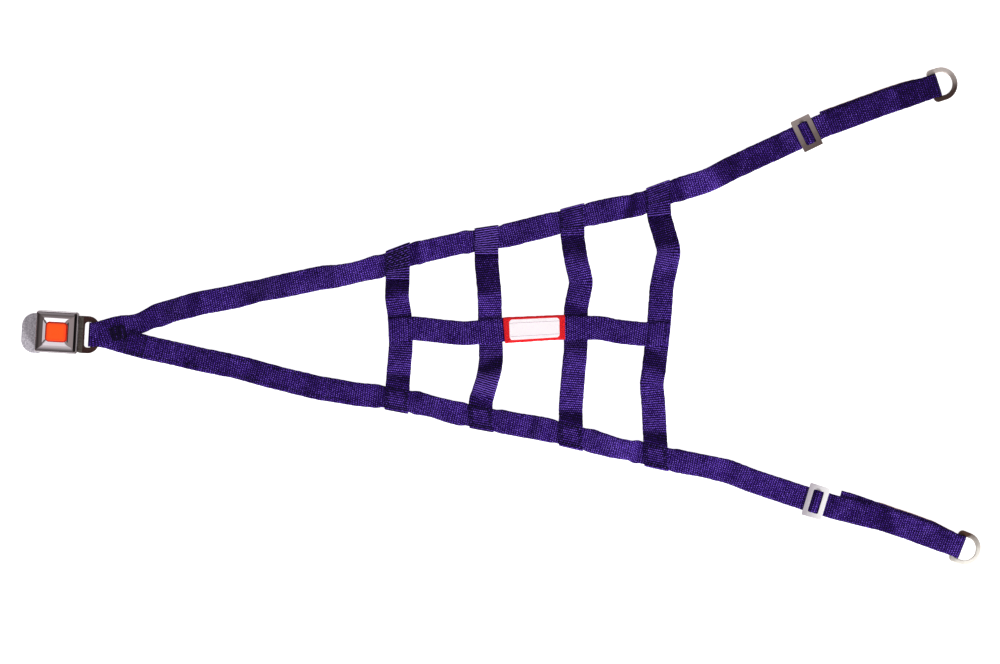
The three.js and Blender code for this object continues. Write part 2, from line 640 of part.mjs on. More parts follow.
// Buckle base: a plate with a round lip, a block under the cover, a mouth for the latch plate,
// a pocket for the button and a slot for the bracket
function buckleBase() {
  const { left, right, half, mid, corner, innerCorner, top, bevel } = LIP;
  let body = solid(plate(roundedShape(left, right, half, corner, innerCorner, mid), 0, top, bevel, 5));
  const floor = roundedShape(FLOOR.left, FLOOR.right, FLOOR.half, innerCorner, innerCorner, FLOOR.mid);
  body = body.add(solid(plate(floor, 0, top, bevel, 3)));
  body = body.add(solid(block(BLOCK.left, BLOCK.right, -BLOCK.half, BLOCK.half, 1, BLOCK.top)));
  body = body.subtract(solid(block(BLOCK.left - 5, MOUTH.right, -MOUTH.half, MOUTH.half, top, MOUTH.top)));
  const flange = FLANGE.out + GAP;
  const reachX = BUTTON.length / 2 + flange;
  const reachY = BUTTON.width / 2 + flange;
  body = body.subtract(solid(block(
    BUTTON.x - reachX, BUTTON.x + reachX, BUTTON.y - reachY, BUTTON.y + reachY, POCKET_FLOOR, BLOCK.top + 1,
  )));
  const slotTop = BRACKET.bottom + BRACKET.thick + GAP;
  const slotHalf = BRACKET.neck + GAP;
  body = body.subtract(solid(block(
    BRACKET.left - GAP, FLOOR.right + 1, -slotHalf, slotHalf, BRACKET.bottom - GAP, slotTop,
  )));
  return piece('buckle_base', surface(body), castGrey);
}

// Cover outlines from its lower edge up the outside, over the rim, down the dish, through the
// window and back along the inside: limits in X and half width in Y about mid
const COVER = [
  { z: 4.8, x0: -21.9, x1: 24.2, half: 22.3, mid: 1.1, corner: 3.2 },
  { z: 13.6, x0: -21.5, x1: 24.2, half: 22.3, mid: 1.1, corner: 3.2 },
  { z: 17.8, x0: -20.9, x1: 23.9, half: 22, mid: 1.1, corner: 3 },
  { z: 19.0, x0: -19.8, x1: 23.1, half: 21.2, mid: 1.2, corner: 2.4 },
  { z: 18.4, x0: -19.1, x1: 22.3, half: 20.3, mid: 1.2, corner: 2 },
  { z: 16.6, x0: -12.2, x1: 13.6, half: 12.5, mid: 1.1, corner: 3 },
  { z: 15.2, x0: -10.6, x1: 11.8, half: 10.3, mid: 1.1, corner: 3 },
  { z: 14.4, x0: -10.6, x1: 11.8, half: 10.3, mid: 1.1, corner: 3 },
  { z: 15.0, x0: -12.4, x1: 13.8, half: 12.7, mid: 1.1, corner: 2.6 },
  { z: 17.0, x0: -19.2, x1: 22.3, half: 20.4, mid: 1.1, corner: 1.6 },
  { z: 13.4, x0: -20.3, x1: 23, half: 21.1, mid: 1.1, corner: 2 },
  { z: 4.8, x0: -20.7, x1: 23, half: 21.1, mid: 1.1, corner: 2 },
];
const CORNER_STEPS = 3;

// A point on a rounded rectangle, the same number of points on each
function onOutline(row, index) {
  const perCorner = CORNER_STEPS + 1;
  const quarter = Math.floor(index / perCorner) % 4;
  const angle = (Math.PI / 2) * (quarter + (index % perCorner) / CORNER_STEPS);
  const sx = quarter === 0 || quarter === 3 ? row.x1 - row.corner : row.x0 + row.corner;
  const sy = quarter < 2 ? row.half - row.corner : -row.half + row.corner;
  return [sx + row.corner * Math.cos(angle), row.mid + sy + row.corner * Math.sin(angle)];
}

// Buckle cover: a ring turned on a lathe whose rounds are then drawn out to the outlines
function buckleCover() {
  const around = 4 * (CORNER_STEPS + 1);
  const profile = [...COVER, COVER[0]].map((row) => new THREE.Vector2(row.half, row.z));
  const lathe = new THREE.LatheGeometry(profile, around);
  const position = lathe.attributes.position;
  for (let v = 0; v < position.count; v += 1) {
    const row = COVER[(v % profile.length) % COVER.length];
    const index = Math.floor(v / profile.length) % around;
    const [x, y] = onOutline(row, index);
    position.setXYZ(v, x, y, row.z);
  }
  const mouth = block(COVER[0].x0 - 1, COVER[0].x0 + 3, -MOUTH.half, MOUTH.half, 0, MOUTH.top);
  return piece('buckle_cover', surface(solid(lathe).subtract(solid(mouth))), chrome);
}

// Button: a crowned block with a flange that the cover holds down
function buckleButton() {
  const { x, y, length, width, corner, top, edge } = BUTTON;
  const flangeTop = 14.4 - GAP;
  const flangeBottom = flangeTop - FLANGE.thick;
  const shape = roundedShape(x - length / 2, x + length / 2, width / 2, corner, corner, y);
  const cap = plate(shape, flangeBottom + 0.2 - edge, top - flangeBottom - 0.2 + edge, edge, 3, 2);
  const half = width / 2 + FLANGE.out;
  const wide = length / 2 + FLANGE.out;
  const flange = block(x - wide, x + wide, y - half, y + half, flangeBottom, flangeTop);
  const below = block(x - wide, x + wide, y - half, y + half, flangeBottom - 5, flangeBottom);
  return piece('buckle_button', surface(solid(cap).add(solid(flange)).subtract(solid(below))), orange);
}

// Bracket: a neck that sits in the base and a round-shouldered plate with the webbing slot
function buckleBracket() {
  const { bottom, thick, left, neck, shoulder, half, right } = BRACKET;
  const outline = roundedShape(shoulder, right, half, 2, BRACKET_CORNER);
  outline.holes.push(roundedShape(SLOT.left, SLOT.right, SLOT.half, SLOT.corner, SLOT.barCorner));
  let body = solid(plate(outline, bottom, thick, 0, 5));
  body = body.add(solid(block(left, shoulder + 1, -neck, neck, bottom, bottom + thick)));
  return piece('buckle_bracket', surface(body), darkSteel);
}

// The net
const net = new THREE.Group();
net.add(upperStrap(), lowerStrap());
crosses.forEach((course, k) => net.add(crossStrap(k)));
net.add(centreStrap(), label());
net.add(slide('slide_upper', upper, UPPER_END.slide), slide('slide_lower', lower, LOWER_END.slide));
net.add(ring('d_ring_upper', upper, UPPER_END.ring), ring('d_ring_lower', lower, LOWER_END.ring));

const buckle = new THREE.Group();
buckle.position.set(BUCKLE.x, BUCKLE.y, 0);
buckle.rotation.z = degToRad(BUCKLE.turn);
buckle.add(buckleBase(), buckleCover(), buckleButton(), buckleBracket());
net.add(buckle);
net.position.set(CENTRING.x, CENTRING.y, 0);

export default net;
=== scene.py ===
# %% [markdown]
# # A roll cage net, dressed in Blender
# The net is a triangle of violet-blue nylon webbing that lies flat on a table, with a chromed
# push-button buckle at its point and a slide and a D-ring on each of its two open arms.
# The solids come from the CAD model as a fixed frame. This script replaces each of them by a piece
# with a finer surface and its finish.

# %% Load the frame
import math
import bpy
import bmesh
import numpy as np
from mathutils import Matrix, Vector


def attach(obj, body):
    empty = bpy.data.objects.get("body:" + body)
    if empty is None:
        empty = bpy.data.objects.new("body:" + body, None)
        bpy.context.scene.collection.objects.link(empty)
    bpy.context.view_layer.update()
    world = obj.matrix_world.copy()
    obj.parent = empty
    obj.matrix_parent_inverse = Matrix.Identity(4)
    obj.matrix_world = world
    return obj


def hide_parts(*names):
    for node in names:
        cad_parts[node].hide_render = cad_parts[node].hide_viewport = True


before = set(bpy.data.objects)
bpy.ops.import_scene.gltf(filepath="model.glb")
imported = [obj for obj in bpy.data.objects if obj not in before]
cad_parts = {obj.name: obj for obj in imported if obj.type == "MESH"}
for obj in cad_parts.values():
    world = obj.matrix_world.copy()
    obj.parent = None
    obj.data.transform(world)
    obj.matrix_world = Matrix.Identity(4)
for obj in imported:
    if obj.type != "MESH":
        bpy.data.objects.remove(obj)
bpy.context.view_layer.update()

MM = 0.001

# %% [markdown]
# ## Small helpers
# Every finish here is a Principled shader with a few nodes in front of it. `add` makes a node with its
# inputs. A Number is a node's output that is added and multiplied like a number, each step one Math
# node. A Finish is a material with short ways to read the piece and to plug into its shader.

# %% Helpers for nodes
def put(name, data):
    """A new object in the scene, from a mesh, a lamp or a camera."""
    thing = bpy.data.objects.new(name, data)
    bpy.context.scene.collection.objects.link(thing)
    return thing

def add(tree, kind, settings=None, **inputs):
    node = tree.nodes.new(kind)
    for key, value in (settings or {}).items():
        setattr(node, key, value)
    for key, value in inputs.items():
        socket = node.inputs[int(key[1:]) if key[0] == "_" else key.replace("_", " ")]
        value = value.socket if isinstance(value, Number) else value
        if isinstance(value, bpy.types.NodeSocket):
            tree.links.new(value, socket)
        else:
            socket.default_value = value
    return node

class Number:
    """A node's output; +, -, *, /, %, **, <, > and abs() each add a Math node."""
    def __init__(self, tree, socket):
        self.tree, self.socket = tree, socket

    def maths(self, operation, *others):
        inputs = {f"_{i}": value for i, value in enumerate((self, *others))}
        node = add(self.tree, "ShaderNodeMath", {"operation": operation}, **inputs)
        return Number(self.tree, node.outputs[0])

OPERATORS = {"add": "ADD", "sub": "SUBTRACT", "mul": "MULTIPLY", "truediv": "DIVIDE", "mod": "MODULO",
             "pow": "POWER", "lt": "LESS_THAN", "gt": "GREATER_THAN", "abs": "ABSOLUTE"}
for sign, operation in OPERATORS.items():
    setattr(Number, f"__{sign}__", lambda self, *others, what=operation: self.maths(what, *others))

def rgb(red, green, blue):
    """A screen colour of 0 to 255 as the linear colour that a shader takes."""
    linear = [((c / 255 + 0.055) / 1.055) ** 2.4 if c > 10 else c / 255 / 12.92 for c in (red, green, blue)]
    return (*linear, 1)

# %% Helpers for materials
class Finish:
    """A Principled material; its shader's own sockets are set by name."""
    def __init__(self, name, **sockets):
        self.material = bpy.data.materials.new(name)
        self.material.use_nodes = True
        self.tree = self.material.node_tree
        self.shader = self.tree.nodes["Principled BSDF"]
        for socket, value in sockets.items():
            self.shader.inputs[socket.replace("_", " ")].default_value = value

    def value(self, kind, out=0, settings=None, **inputs):
        return Number(self.tree, add(self.tree, kind, settings, **inputs).outputs[out])

    def place(self):
        return self.value("ShaderNodeTexCoord", "Object")

    def weave(self):
        return self.value("ShaderNodeUVMap", 0, {"uv_map": "weave"})

    def mark(self, name):
        return self.value("ShaderNodeAttribute", "Fac", {"attribute_name": name})

    def noise(self, at, scale, detail=2.0, roughness=0.5, out=0):
        return self.value("ShaderNodeTexNoise", out, _0=at, Scale=scale, Detail=detail, Roughness=roughness)

    def vectors(self, operation, a, b, out="Value", **more):
        return self.value("ShaderNodeVectorMath", out, {"operation": operation}, _0=a, _1=b, **more)

    def split(self, vector):
        parts = add(self.tree, "ShaderNodeSeparateXYZ", _0=vector).outputs
        return Number(self.tree, parts[0]), Number(self.tree, parts[1])

    def blend(self, a, b, share):
        return self.value("ShaderNodeMix", 0, {"data_type": "FLOAT"}, _0=share, _2=a, _3=b)

    def mix(self, a, b, share):
        return self.value("ShaderNodeMix", 2, {"data_type": "RGBA"}, _0=share, _6=a, _7=b)

    def ramp(self, value, *stops):
        node = add(self.tree, "ShaderNodeValToRGB", _0=value)
        elements = node.color_ramp.elements
        while len(elements) < len(stops):
            elements.new(0.5)
        for element, (place, colour) in zip(elements, stops):
            element.position, element.color = place, rgb(*colour)
        return Number(self.tree, node.outputs[0])

    def plug(self, **sockets):
        for socket, value in sockets.items():
            self.tree.links.new(value.socket, self.shader.inputs[socket.replace("_", " ")])

    def bump(self, height, strength, distance):
        self.plug(Normal=self.value("ShaderNodeBump", Strength=strength, Distance=distance, Height=height))

# %% [markdown]
# ## Camera, table and light
# The photograph looks straight down from far away, so the camera stands about three metres up, and
# its lens follows from the width of the picture at the table. The light comes from below and from
# the right: one large lamp makes that, and a sky fills the shadows. The sky has a few bright
# patches, because chrome shows nothing but what it mirrors.

# %% Camera and light
CAMERA_HEIGHT, PICTURE_WIDTH, SENSOR = 2.9, 1.0583, 36
MIDDLE = Vector((-0.0013, -0.0166, 0))
KEY_LAMP = {"place": (1.6, -3.0, 1.5), "size": 1.2, "power": 150}
SKY = (0.15, 0.13, 0.125)
SKY_PATCHES = [  # direction, spread in degrees, colour
    ((0, 1, 1), 34, (1.15, 1.12, 1.15)),       # the dish's lower slope
    ((0, -1, 0.85), 30, (2.2, 2.2, 2.25)),     # the rolled edge above the button
    ((1, 0, 0.6), 32, (0.9, 0.88, 0.9)),       # the rolled edge left of the button
    ((-0.8, 0, 1), 42, (0.42, 0.37, 0.36)),    # the dish's right slope
    ((-1, 0, 0.2), 38, (0.03, 0.03, 0.03)),    # the dark band inside the right rim
]

def add_camera():
    data = bpy.data.cameras.new("camera")
    data.sensor_width, data.lens = SENSOR, SENSOR * CAMERA_HEIGHT / PICTURE_WIDTH
    camera = put("camera", data)
    camera.location = MIDDLE + Vector((0, 0, CAMERA_HEIGHT))
    bpy.context.scene.camera = camera
    print("lens", round(data.lens, 1), "mm")

def add_lamp(name, place, size, power):
    data = bpy.data.lights.new(name, "AREA")
    data.shape, data.size, data.energy = "DISK", size, power
    lamp = put(name, data)
    lamp.location = place
    lamp.rotation_euler = (-Vector(place)).to_track_quat("-Z", "Y").to_euler()
    lamp.visible_glossy = False

def set_sky(colour, patches):
    """A plain sky with soft bright patches, each round its own direction."""
    world = bpy.data.worlds.new("sky")
    world.use_nodes = True
    tree = world.node_tree
    way, mixed = add(tree, "ShaderNodeTexCoord").outputs["Generated"], (*colour, 1)
    for aim, spread, bright in patches:
        facing = add(tree, "ShaderNodeVectorMath", {"operation": "DOT_PRODUCT"}, _0=way,
                     _1=Vector(aim).normalized())
        edge = add(tree, "ShaderNodeMapRange", {"interpolation_type": "SMOOTHSTEP"},
                   _0=facing.outputs["Value"], _1=math.cos(math.radians(spread)),
                   _2=math.cos(math.radians(spread * 0.4)))
        mixed = add(tree, "ShaderNodeMix", {"data_type": "RGBA"}, _0=edge.outputs[0], _6=mixed,
                    _7=(*bright, 1)).outputs[2]
    tree.links.new(mixed, tree.nodes["Background"].inputs["Color"])
    bpy.context.scene.world = world

add_camera()
add_lamp("key", **KEY_LAMP)
set_sky(SKY, SKY_PATCHES)
bpy.context.scene.view_settings.view_transform = "Standard"

# %% [markdown]
# The photograph's background is plain white, as on a light table. So the table is a pale sheet that
# glows a little.

# %% The table
PAPER = Finish("paper", Base_Color=(0.8, 0.8, 0.8, 1), Roughness=0.9, Emission_Color=(1, 1, 1, 1),
               Emission_Strength=0.85)
mesh = bpy.data.meshes.new("table")
mesh.from_pydata([(-9, -9, 0), (9, -9, 0), (9, 9, 0), (-9, 9, 0)], [], [(0, 1, 2, 3)])
mesh.materials.append(PAPER.material)
table = put("table", mesh)
table.location.z = -0.0003
print("table at", table.location.z, "m")

# %% [markdown]
# ## The courses of the straps
# A strap's shape is a rule and a short table. The table gives its middle line in plan, how high its
# underside lies above the table, and how far it is tilted, a row for each bend or fold. Between rows
# the values run straight, and a moving average rounds the corners. At crossings, at the slides and
# at the rings the height is fixed by what lies below, so a few stops hold it there.

# %% Sizes of the webbing, and the tables (millimetres and degrees)
WEB_WIDTH, WEB_THICK, GAP = 25.4, 1.4, 0.3
LAYER, HALF = WEB_THICK + GAP, WEB_WIDTH / 2
ROUNDING = 5.5
CENTRING = (0.21, -0.25)

# x, y, rise, tilt
UPPER = [
    (-450, -18.2, 1.7, 0), (-427.6, -19.5, 1.7, 0), (-420.6, -16.6, 1.7, 0), (-410, -13.1, 1.7, 0),
    (-393.7, -10, 1.7, 0), (-381.4, -7.1, 1.7, 0), (-369.3, -0.8, 0, 13), (-346, 6.8, 0, -22),
    (-318.5, 14.4, 0, 12), (-290, 19.3, 2, 9), (-254, 27.7, 0, -25), (-217, 35.3, 2, 8),
    (-191.6, 41, 0, -6), (-172, 42.8, 2, 24), (-149, 47.6, 1, 33), (-124.9, 54.3, 0, 6),
    (-94.2, 65.9, 0, 24), (-66, 72.4, 2, 24), (-39.2, 78.4, 0, 30), (-1.1, 83.9, 1, 10),
    (26, 90.9, 0, -12), (49.7, 96.6, 0, 14), (100.5, 109.8, 1, -8), (128, 115.3, 4, 17),
    (139, 116.6, 0, 22), (189.4, 134.9, 3, 10), (214.8, 142.5, 2, 12), (227, 148.1, 0, 12),
    (242.4, 156.5, 2, -9), (272, 170.2, 0, 8), (303.7, 184.7, 0, -4), (336, 200.4, 1.7, 0),
    (372, 213.6, 3, 3), (405.3, 226, 1.7, -2), (430, 234.2, 2.5, 0), (452, 241.9, 6.5, 0),
    (461.9, 245, 6.5, 0),
]
LOWER = [
    (-450, -18.2, 3.4, 0), (-421, -19.9, 3.4, 0), (-402.2, -25.4, 3.4, 0), (-369.3, -34, 1.7, 0),
    (-345, -39.1, 0, 9), (-318.5, -45.4, 1, -10), (-280.4, -53, 0, 12), (-254, -60.3, 2, -9),
    (-229.7, -66.7, 0, 13), (-194, -75.3, 3, -8), (-172, -78.8, 0, 9), (-153.5, -82.2, 1, 12),
    (-122.8, -84.9, 0, 0), (-90, -91, 0, 14), (-72, -95.2, 0, 28), (-51.9, -101.1, 2, 14),
    (-1.1, -110.7, 3, 6), (22, -115.3, 0, 12), (41, -118, 4, -13), (56, -121.8, 0, 9),
    (87.8, -129.3, 0, 8), (120, -138.7, 3, 28), (138.6, -141.9, 1, 34), (189.4, -153.4, 0, 10),
    (214.8, -157.9, 3, 19), (240.2, -163.9, 0, 4), (265.6, -173.8, 2, 10), (316.4, -190.8, 0, 0),
    (354.5, -202.3, 1.8, 0), (366, -204.9, 1.7, 0), (386, -210, 3.5, 4), (402, -213.7, 1.7, 0),
    (430.7, -223.3, 1.7, 0), (452, -231.1, 2.4, 0), (477, -240.4, 6.5, 0), (486.8, -244.3, 6.5, 0),
]
# y, x, rise, tilt, slant
CROSS = [
    [(-109.7, -111.7, 0, 0, 0), (-58.9, -108.8, 0, 0, 0), (-43, -107.3, 2, -3, 0),
     (-30.4, -106.3, 0, 0, 0), (-1.8, -107.4, 0, 0, 0), (8, -108.5, 2.4, 2, 0), (17.3, -110.3, 4, 4, 0.12),
     (23, -110.3, 4.8, 3, 0.1), (42, -109.7, 0, 0, 0), (80.7, -109.5, 0, 0, 0)],
    [(-130.9, -20.6, 0, 0, 0), (-90.7, -22.2, 0, -12, 0), (-63.2, -13.8, 7.5, -18, -0.42),
     (-48, -11, 2.5, 0, -0.42), (-30, -11.1, 0.8, 0, 0), (-17, -12.1, 0, 0, 0), (4, -12.1, 1, 0, 0),
     (21.5, -12.4, 7.5, 2, 0.05), (57.5, -15.7, 0, 0, 0), (107.2, -15.9, 0, 0, 0)],
    [(-152.1, 73.6, 0, 0, 0), (-97, 73.2, 0, 0, 0), (-60, 76, 2.5, 2, 0), (-36, 78.3, 2, -16, 0.2),
     (-20, 78.8, 0, 0, 0), (4, 78.7, 0, 0, 0), (11, 79.1, 3.6, 0, 0), (36.4, 84.6, 1.6, -6, 0.1),
     (58.5, 79, 5.2, -12, 0.3), (82.9, 75.3, 0, 0, 0), (128.4, 74.6, 0, 0, 0)],
    [(-173.2, 164.6, 0, 0, 0), (-112, 161.7, 0, 0, 0), (-92, 160.7, 1.5, 3, 0), (-71.6, 158.6, 3.5, 5, 0),
     (-58, 160.7, 6.4, 0, 0.05), (-34, 163.8, 0, 0, 0), (-1, 167.3, 0, 0, 0), (32, 169.3, 1, -12, 0),
     (69.1, 176.9, 7.5, -15, 0), (106.1, 166.8, 0, 0, 0), (149.5, 165.1, 0, 0, 0)],
]
# x, y, rise, tilt
CENTRE = [
    (-121.7, -15, 1.7, 0), (-92, -12.3, 1.7, 0), (-64.6, -15.4, 0.5, 2), (-39.2, -18, 1.7, 0),
    (-14, -15.6, 1.7, 0), (4.2, -13.5, 1.7, 0), (62.4, -12.1, 1.7, 0), (104.8, -11.9, 1.7, 0),
    (121, -15.6, 0.4, -3), (147, -18.4, 1.7, 0), (181, -18.7, 1.7, 0),
]

# %% Reading the tables
def read(rows, column, at):
    places, values = rows[:, 0], rows[:, column]
    i = np.clip(np.searchsorted(places, at, side="right") - 1, 0, len(places) - 2)
    return values[i] + (at - places[i]) / (places[i + 1] - places[i]) * (values[i + 1] - values[i])

def smooth(rows, column, at):
    at = np.asarray(at, float)
    return sum(read(rows, column, at + k * ROUNDING) for k in np.linspace(-1, 1, 21)) / 21

def smoothstep(x, low, high):
    t = np.clip((x - low) / (high - low), 0, 1)
    return t * t * (3 - 2 * t)

def blend(a, b, share):
    return a + (b - a) * share

class Course:
    """A strap's way: a plan line along x or y, and the stops that fix its height."""
    def __init__(self, rows, along):
        self.rows, self.along, self.stops = np.array(rows, float), along, []

    def plan(self, at):
        return smooth(self.rows, 1, at)

    def slope(self, at):
        return self.plan(at + 0.5) - self.plan(at - 0.5)

    def arrange(self, along, across, up):
        """x, y and z from a length along the course's axis, one across it and a height."""
        sides = (along, across) if self.along == "x" else (across, along)
        return np.stack(np.broadcast_arrays(*sides, up), -1)

    def direction(self, at):
        way = self.arrange(1.0, self.slope(at), 0.0)
        return way / np.linalg.norm(way, axis=-1, keepdims=True)

    def point(self, at, height):
        return self.arrange(at, self.plan(at), height)

    def stations(self, at):
        stretch = np.hypot(1, self.slope(at))
        rise = np.maximum(0, smooth(self.rows, 2, at))
        tilt = smooth(self.rows, 3, at)
        slant = smooth(self.rows, 4, at) if self.along == "y" else np.zeros_like(at)
        width, skew, calm = np.full_like(at, WEB_WIDTH), np.zeros_like(at), np.zeros_like(at)
        for stop in self.stops:
            away, flat = np.abs(at - stop["at"]) * stretch, stop["flat"]
            hold = 1 - smoothstep(away, flat, flat + stop["ramp"])
            rise = blend(rise, stop.get("rise", rise), hold)
            tilt = blend(tilt, 0, hold if "rise" in stop else 0)
            width *= blend(1, stop.get("pinch", 1), hold)
            skew = blend(skew, stop.get("skew", skew), hold)
            calm = np.maximum(calm, hold)
        lifted = width / 2 * np.sin(np.radians(np.abs(tilt)))
        return {
            "at": at, "middle": self.point(at, rise + lifted + WEB_THICK / 2),
            "direction": self.direction(at), "width": width, "tilt": tilt, "skew": skew,
            "slant": slant * (1 - calm), "calm": calm,
        }

# %% [markdown]
# A strap is laid out in lengths: a straight run that follows its course, half turns round a bar or
# an edge, and sewn layers that lie flat at one height. Each length gives stations, a middle point
# with the width and the slope there, about 1.2 mm apart: half of one rib of the weave.

# %% Lengths of a strap
STEP = 1.2

def places(start, end):
    return np.linspace(start, end, max(3, int(abs(end - start) / STEP)))

def flat_fields(at, direction, middle, **more):
    values = {"width": WEB_WIDTH, "tilt": 0, "skew": 0, "slant": 0, "calm": 1, **more}
    fields = {key: np.broadcast_to(np.asarray(value, float), at.shape) for key, value in values.items()}
    return {"at": at, "middle": middle, "direction": direction, **fields}

def run(course, start, end):
    return course.stations(places(start, end))

def turn(course, at, height, radius, side, up, steps=14, reach=1.0, **more):
    angle = np.pi * np.arange(1, steps) / steps
    still, direction = np.full(steps - 1, at), np.broadcast_to(course.direction(at), (steps - 1, 3))
    middle = course.point(still, height) + direction * (side * radius * reach * np.sin(angle))[:, None]
    middle[:, 2] += (-1 if up else 1) * radius * np.cos(angle)
    return flat_fields(still, direction, middle, **more)

def layer(course, start, end, height, offset=None, **more):
    at = places(start, end)
    share = (at - start) / (end - start)
    direction, middle = course.direction(at), course.point(at, height)
    if offset:
        aside = offset(share)
        middle[:, 0] -= direction[:, 1] * aside
        middle[:, 1] += direction[:, 0] * aside
    more = {key: value(share) if callable(value) else value for key, value in more.items()}
    return flat_fields(at, direction, middle, **more)

def join(*lengths):
    joined = {key: np.concatenate([length[key] for length in lengths]) for key in lengths[0]}
    joined["part"] = np.concatenate([np.full(len(length["at"]), k) for k, length in enumerate(lengths)])
    return joined

# %% [markdown]
# ## Where straps cross
# Each cross strap runs under the upper side strap and is folded back over it, and it runs over the
# lower side strap and is folded back under it. The fold follows the edge of the strap that it goes
# round. The centre strap simply lies on the cross straps, and is cut off at the outer ones.

# %% Crossings and stops
CROSSING_FLAT, CROSSING_RAMP, END_PAST = 18, 11, 2
DRAWN_IN = {"pinch": 0.90, "flat": 13.5, "ramp": 9}
FOLD_REACH = 0.6
upper, lower, centre = Course(UPPER, "x"), Course(LOWER, "x"), Course(CENTRE, "x")
crosses = [Course(rows, "y") for rows in CROSS]

def meet(cross, side):
    y = 0.0
    for _ in range(20):
        y = side.plan(cross.plan(y))
    return float(cross.plan(y)), float(y)

class Crossing:
    def __init__(self, cross):
        self.top, self.bottom, self.middle = [meet(cross, side) for side in (upper, lower, centre)]
        self.top_slope = float(upper.slope(self.top[0]))
        self.bottom_slope = float(lower.slope(self.bottom[0]))

crossings = [Crossing(cross) for cross in crosses]

def stop(at, flat, ramp, **more):
    return {"at": at, "flat": flat, "ramp": ramp, **more}

print("crossings:", [tuple(round(v) for v in c.top + c.bottom) for c in crossings])
for c in crossings:
    for side, at in ((upper, c.top[0]), (lower, c.bottom[0])):
        side.stops += [stop(at, CROSSING_FLAT, CROSSING_RAMP, rise=LAYER), stop(at, **DRAWN_IN)]

# %% [markdown]
# At its open end a side strap passes a slide, goes round the bar of the D-ring and comes back
# underneath. At the buckle the upper strap goes round the bracket's bar, and its tail comes back
# under the lower strap, whose end is sewn down on top of both.

# %% The ends of the side straps
SLIDE = {"length": 21.8, "width": 35.4, "thick": 1.5, "bar": 5.4, "end": 5.5, "middle": 2}
SLIDE_OVER = LAYER + SLIDE["thick"] + GAP
SLIDE_SLOT = SLIDE["length"] / 2 - SLIDE["bar"]
RING = {"width": 35.4, "bar": 5, "thick": 3.4, "leg": 10, "bevel": 1.2, "corner": 5, "back": 3,
        "bow": 5.6}
RING_ROUND = math.hypot(RING["bar"] / 2 - RING["bevel"], RING["thick"] / 2 - RING["bevel"]) + RING["bevel"]
RING_TURN = RING_ROUND + GAP + 0.1 + WEB_THICK / 2
RING_HEIGHT = WEB_THICK / 2 + RING_TURN
PINCH_SLIDE, PINCH_RING = 0.962, 0.955
UPPER_END = {"slide": 322.8, "ring": 458.2, "cut": 341.5, "offset": 2, "drift": 0.4}
LOWER_END = {"slide": 332.4, "ring": 483.1, "cut": 355.2, "offset": 2.6, "drift": 3.7}
BAR_AT, BAR_TURN, TAIL_CUT, LOWER_CUT = -433.7, 2.25, -377, -397

for course, end in ((upper, UPPER_END), (lower, LOWER_END)):
    course.stops += [
        stop(end["slide"], SLIDE["length"] / 2 + 1, 8, rise=0),
        stop(end["slide"], SLIDE["middle"] / 2, SLIDE_SLOT - SLIDE["middle"] / 2 - 0.2, rise=SLIDE_OVER),
        stop(end["slide"], SLIDE_SLOT, 4, pinch=PINCH_SLIDE),
        stop(end["ring"], 7, 16, rise=RING_HEIGHT + RING_TURN - WEB_THICK / 2, pinch=PINCH_RING),
    ]
upper.stops += [stop(-404, 25, 12, rise=LAYER), stop(BAR_AT, 12, 13, rise=2 * BAR_TURN),
                stop(-381, 6, 14, pinch=0.86)]
lower.stops.append(stop(LOWER_CUT, TAIL_CUT - LOWER_CUT + 1, 14, rise=2 * LAYER))

def ring_end(course, end):
    round_bar = turn(course, end["ring"], RING_HEIGHT, RING_TURN, 1, False, width=WEB_WIDTH * PINCH_RING)
    back = layer(
        course, end["ring"], end["cut"], WEB_THICK / 2,
        width=lambda t: WEB_WIDTH * blend(PINCH_RING, 1, smoothstep(t, 0, 0.15)),
        offset=lambda t: end["offset"] * smoothstep(t, 0.06, 0.28) + end["drift"] * smoothstep(t, 0.55, 1),
    )
    return [round_bar, back]

def upper_lengths():
    tail = layer(lower, TAIL_CUT, BAR_AT, WEB_THICK / 2)
    round_bar = turn(lower, BAR_AT, WEB_THICK / 2 + BAR_TURN, BAR_TURN, -1, True)
    return join(tail, round_bar, run(upper, BAR_AT, UPPER_END["ring"]), *ring_end(upper, UPPER_END))

def lower_lengths():
    return join(run(lower, LOWER_CUT, LOWER_END["ring"]), *ring_end(lower, LOWER_END))

# %% The cross straps and the centre strap
def half_along(slope):
    return HALF * DRAWN_IN["pinch"] * math.hypot(1, slope)

def end_reach(slope):
    return HALF * (math.hypot(1, slope) + abs(slope)) + END_PAST

def cross_lengths(k):
    course, c = crosses[k], crossings[k]
    top, bottom, fold = c.top[1], c.bottom[1], WEB_THICK / 2 + LAYER
    top_reach, bottom_reach = end_reach(c.top_slope), end_reach(c.bottom_slope)
    top_edge = top + half_along(c.top_slope) + GAP * math.hypot(1, c.top_slope)
    bottom_edge = bottom - half_along(c.bottom_slope) - GAP * math.hypot(1, c.bottom_slope)
    top_skew = -(c.top_slope + float(course.slope(top)))
    bottom_skew = -(c.bottom_slope + float(course.slope(bottom)))
    course.stops = [
        stop(top, top_reach, 9, rise=0, skew=top_skew),
        stop(bottom, bottom_reach + 1, 8, rise=2 * LAYER, skew=bottom_skew),
        stop(c.middle[1], HALF + 2, 7, rise=0),
    ]
    return join(
        layer(course, bottom + bottom_reach, bottom_edge, WEB_THICK / 2,
              skew=lambda t: bottom_skew * smoothstep(t, 0, 0.7)),
        turn(course, bottom_edge, fold, LAYER, -1, True, reach=FOLD_REACH, skew=bottom_skew),
        run(course, bottom_edge, top_edge),
        turn(course, top_edge, fold, LAYER, 1, True, reach=FOLD_REACH, skew=top_skew),
        layer(course, top_edge, top - top_reach, WEB_THICK / 2 + 2 * LAYER,
              skew=lambda t: top_skew * (1 - smoothstep(t, 0.3, 1))),
    )

CENTRE_ENDS = (12.4, 12.0)

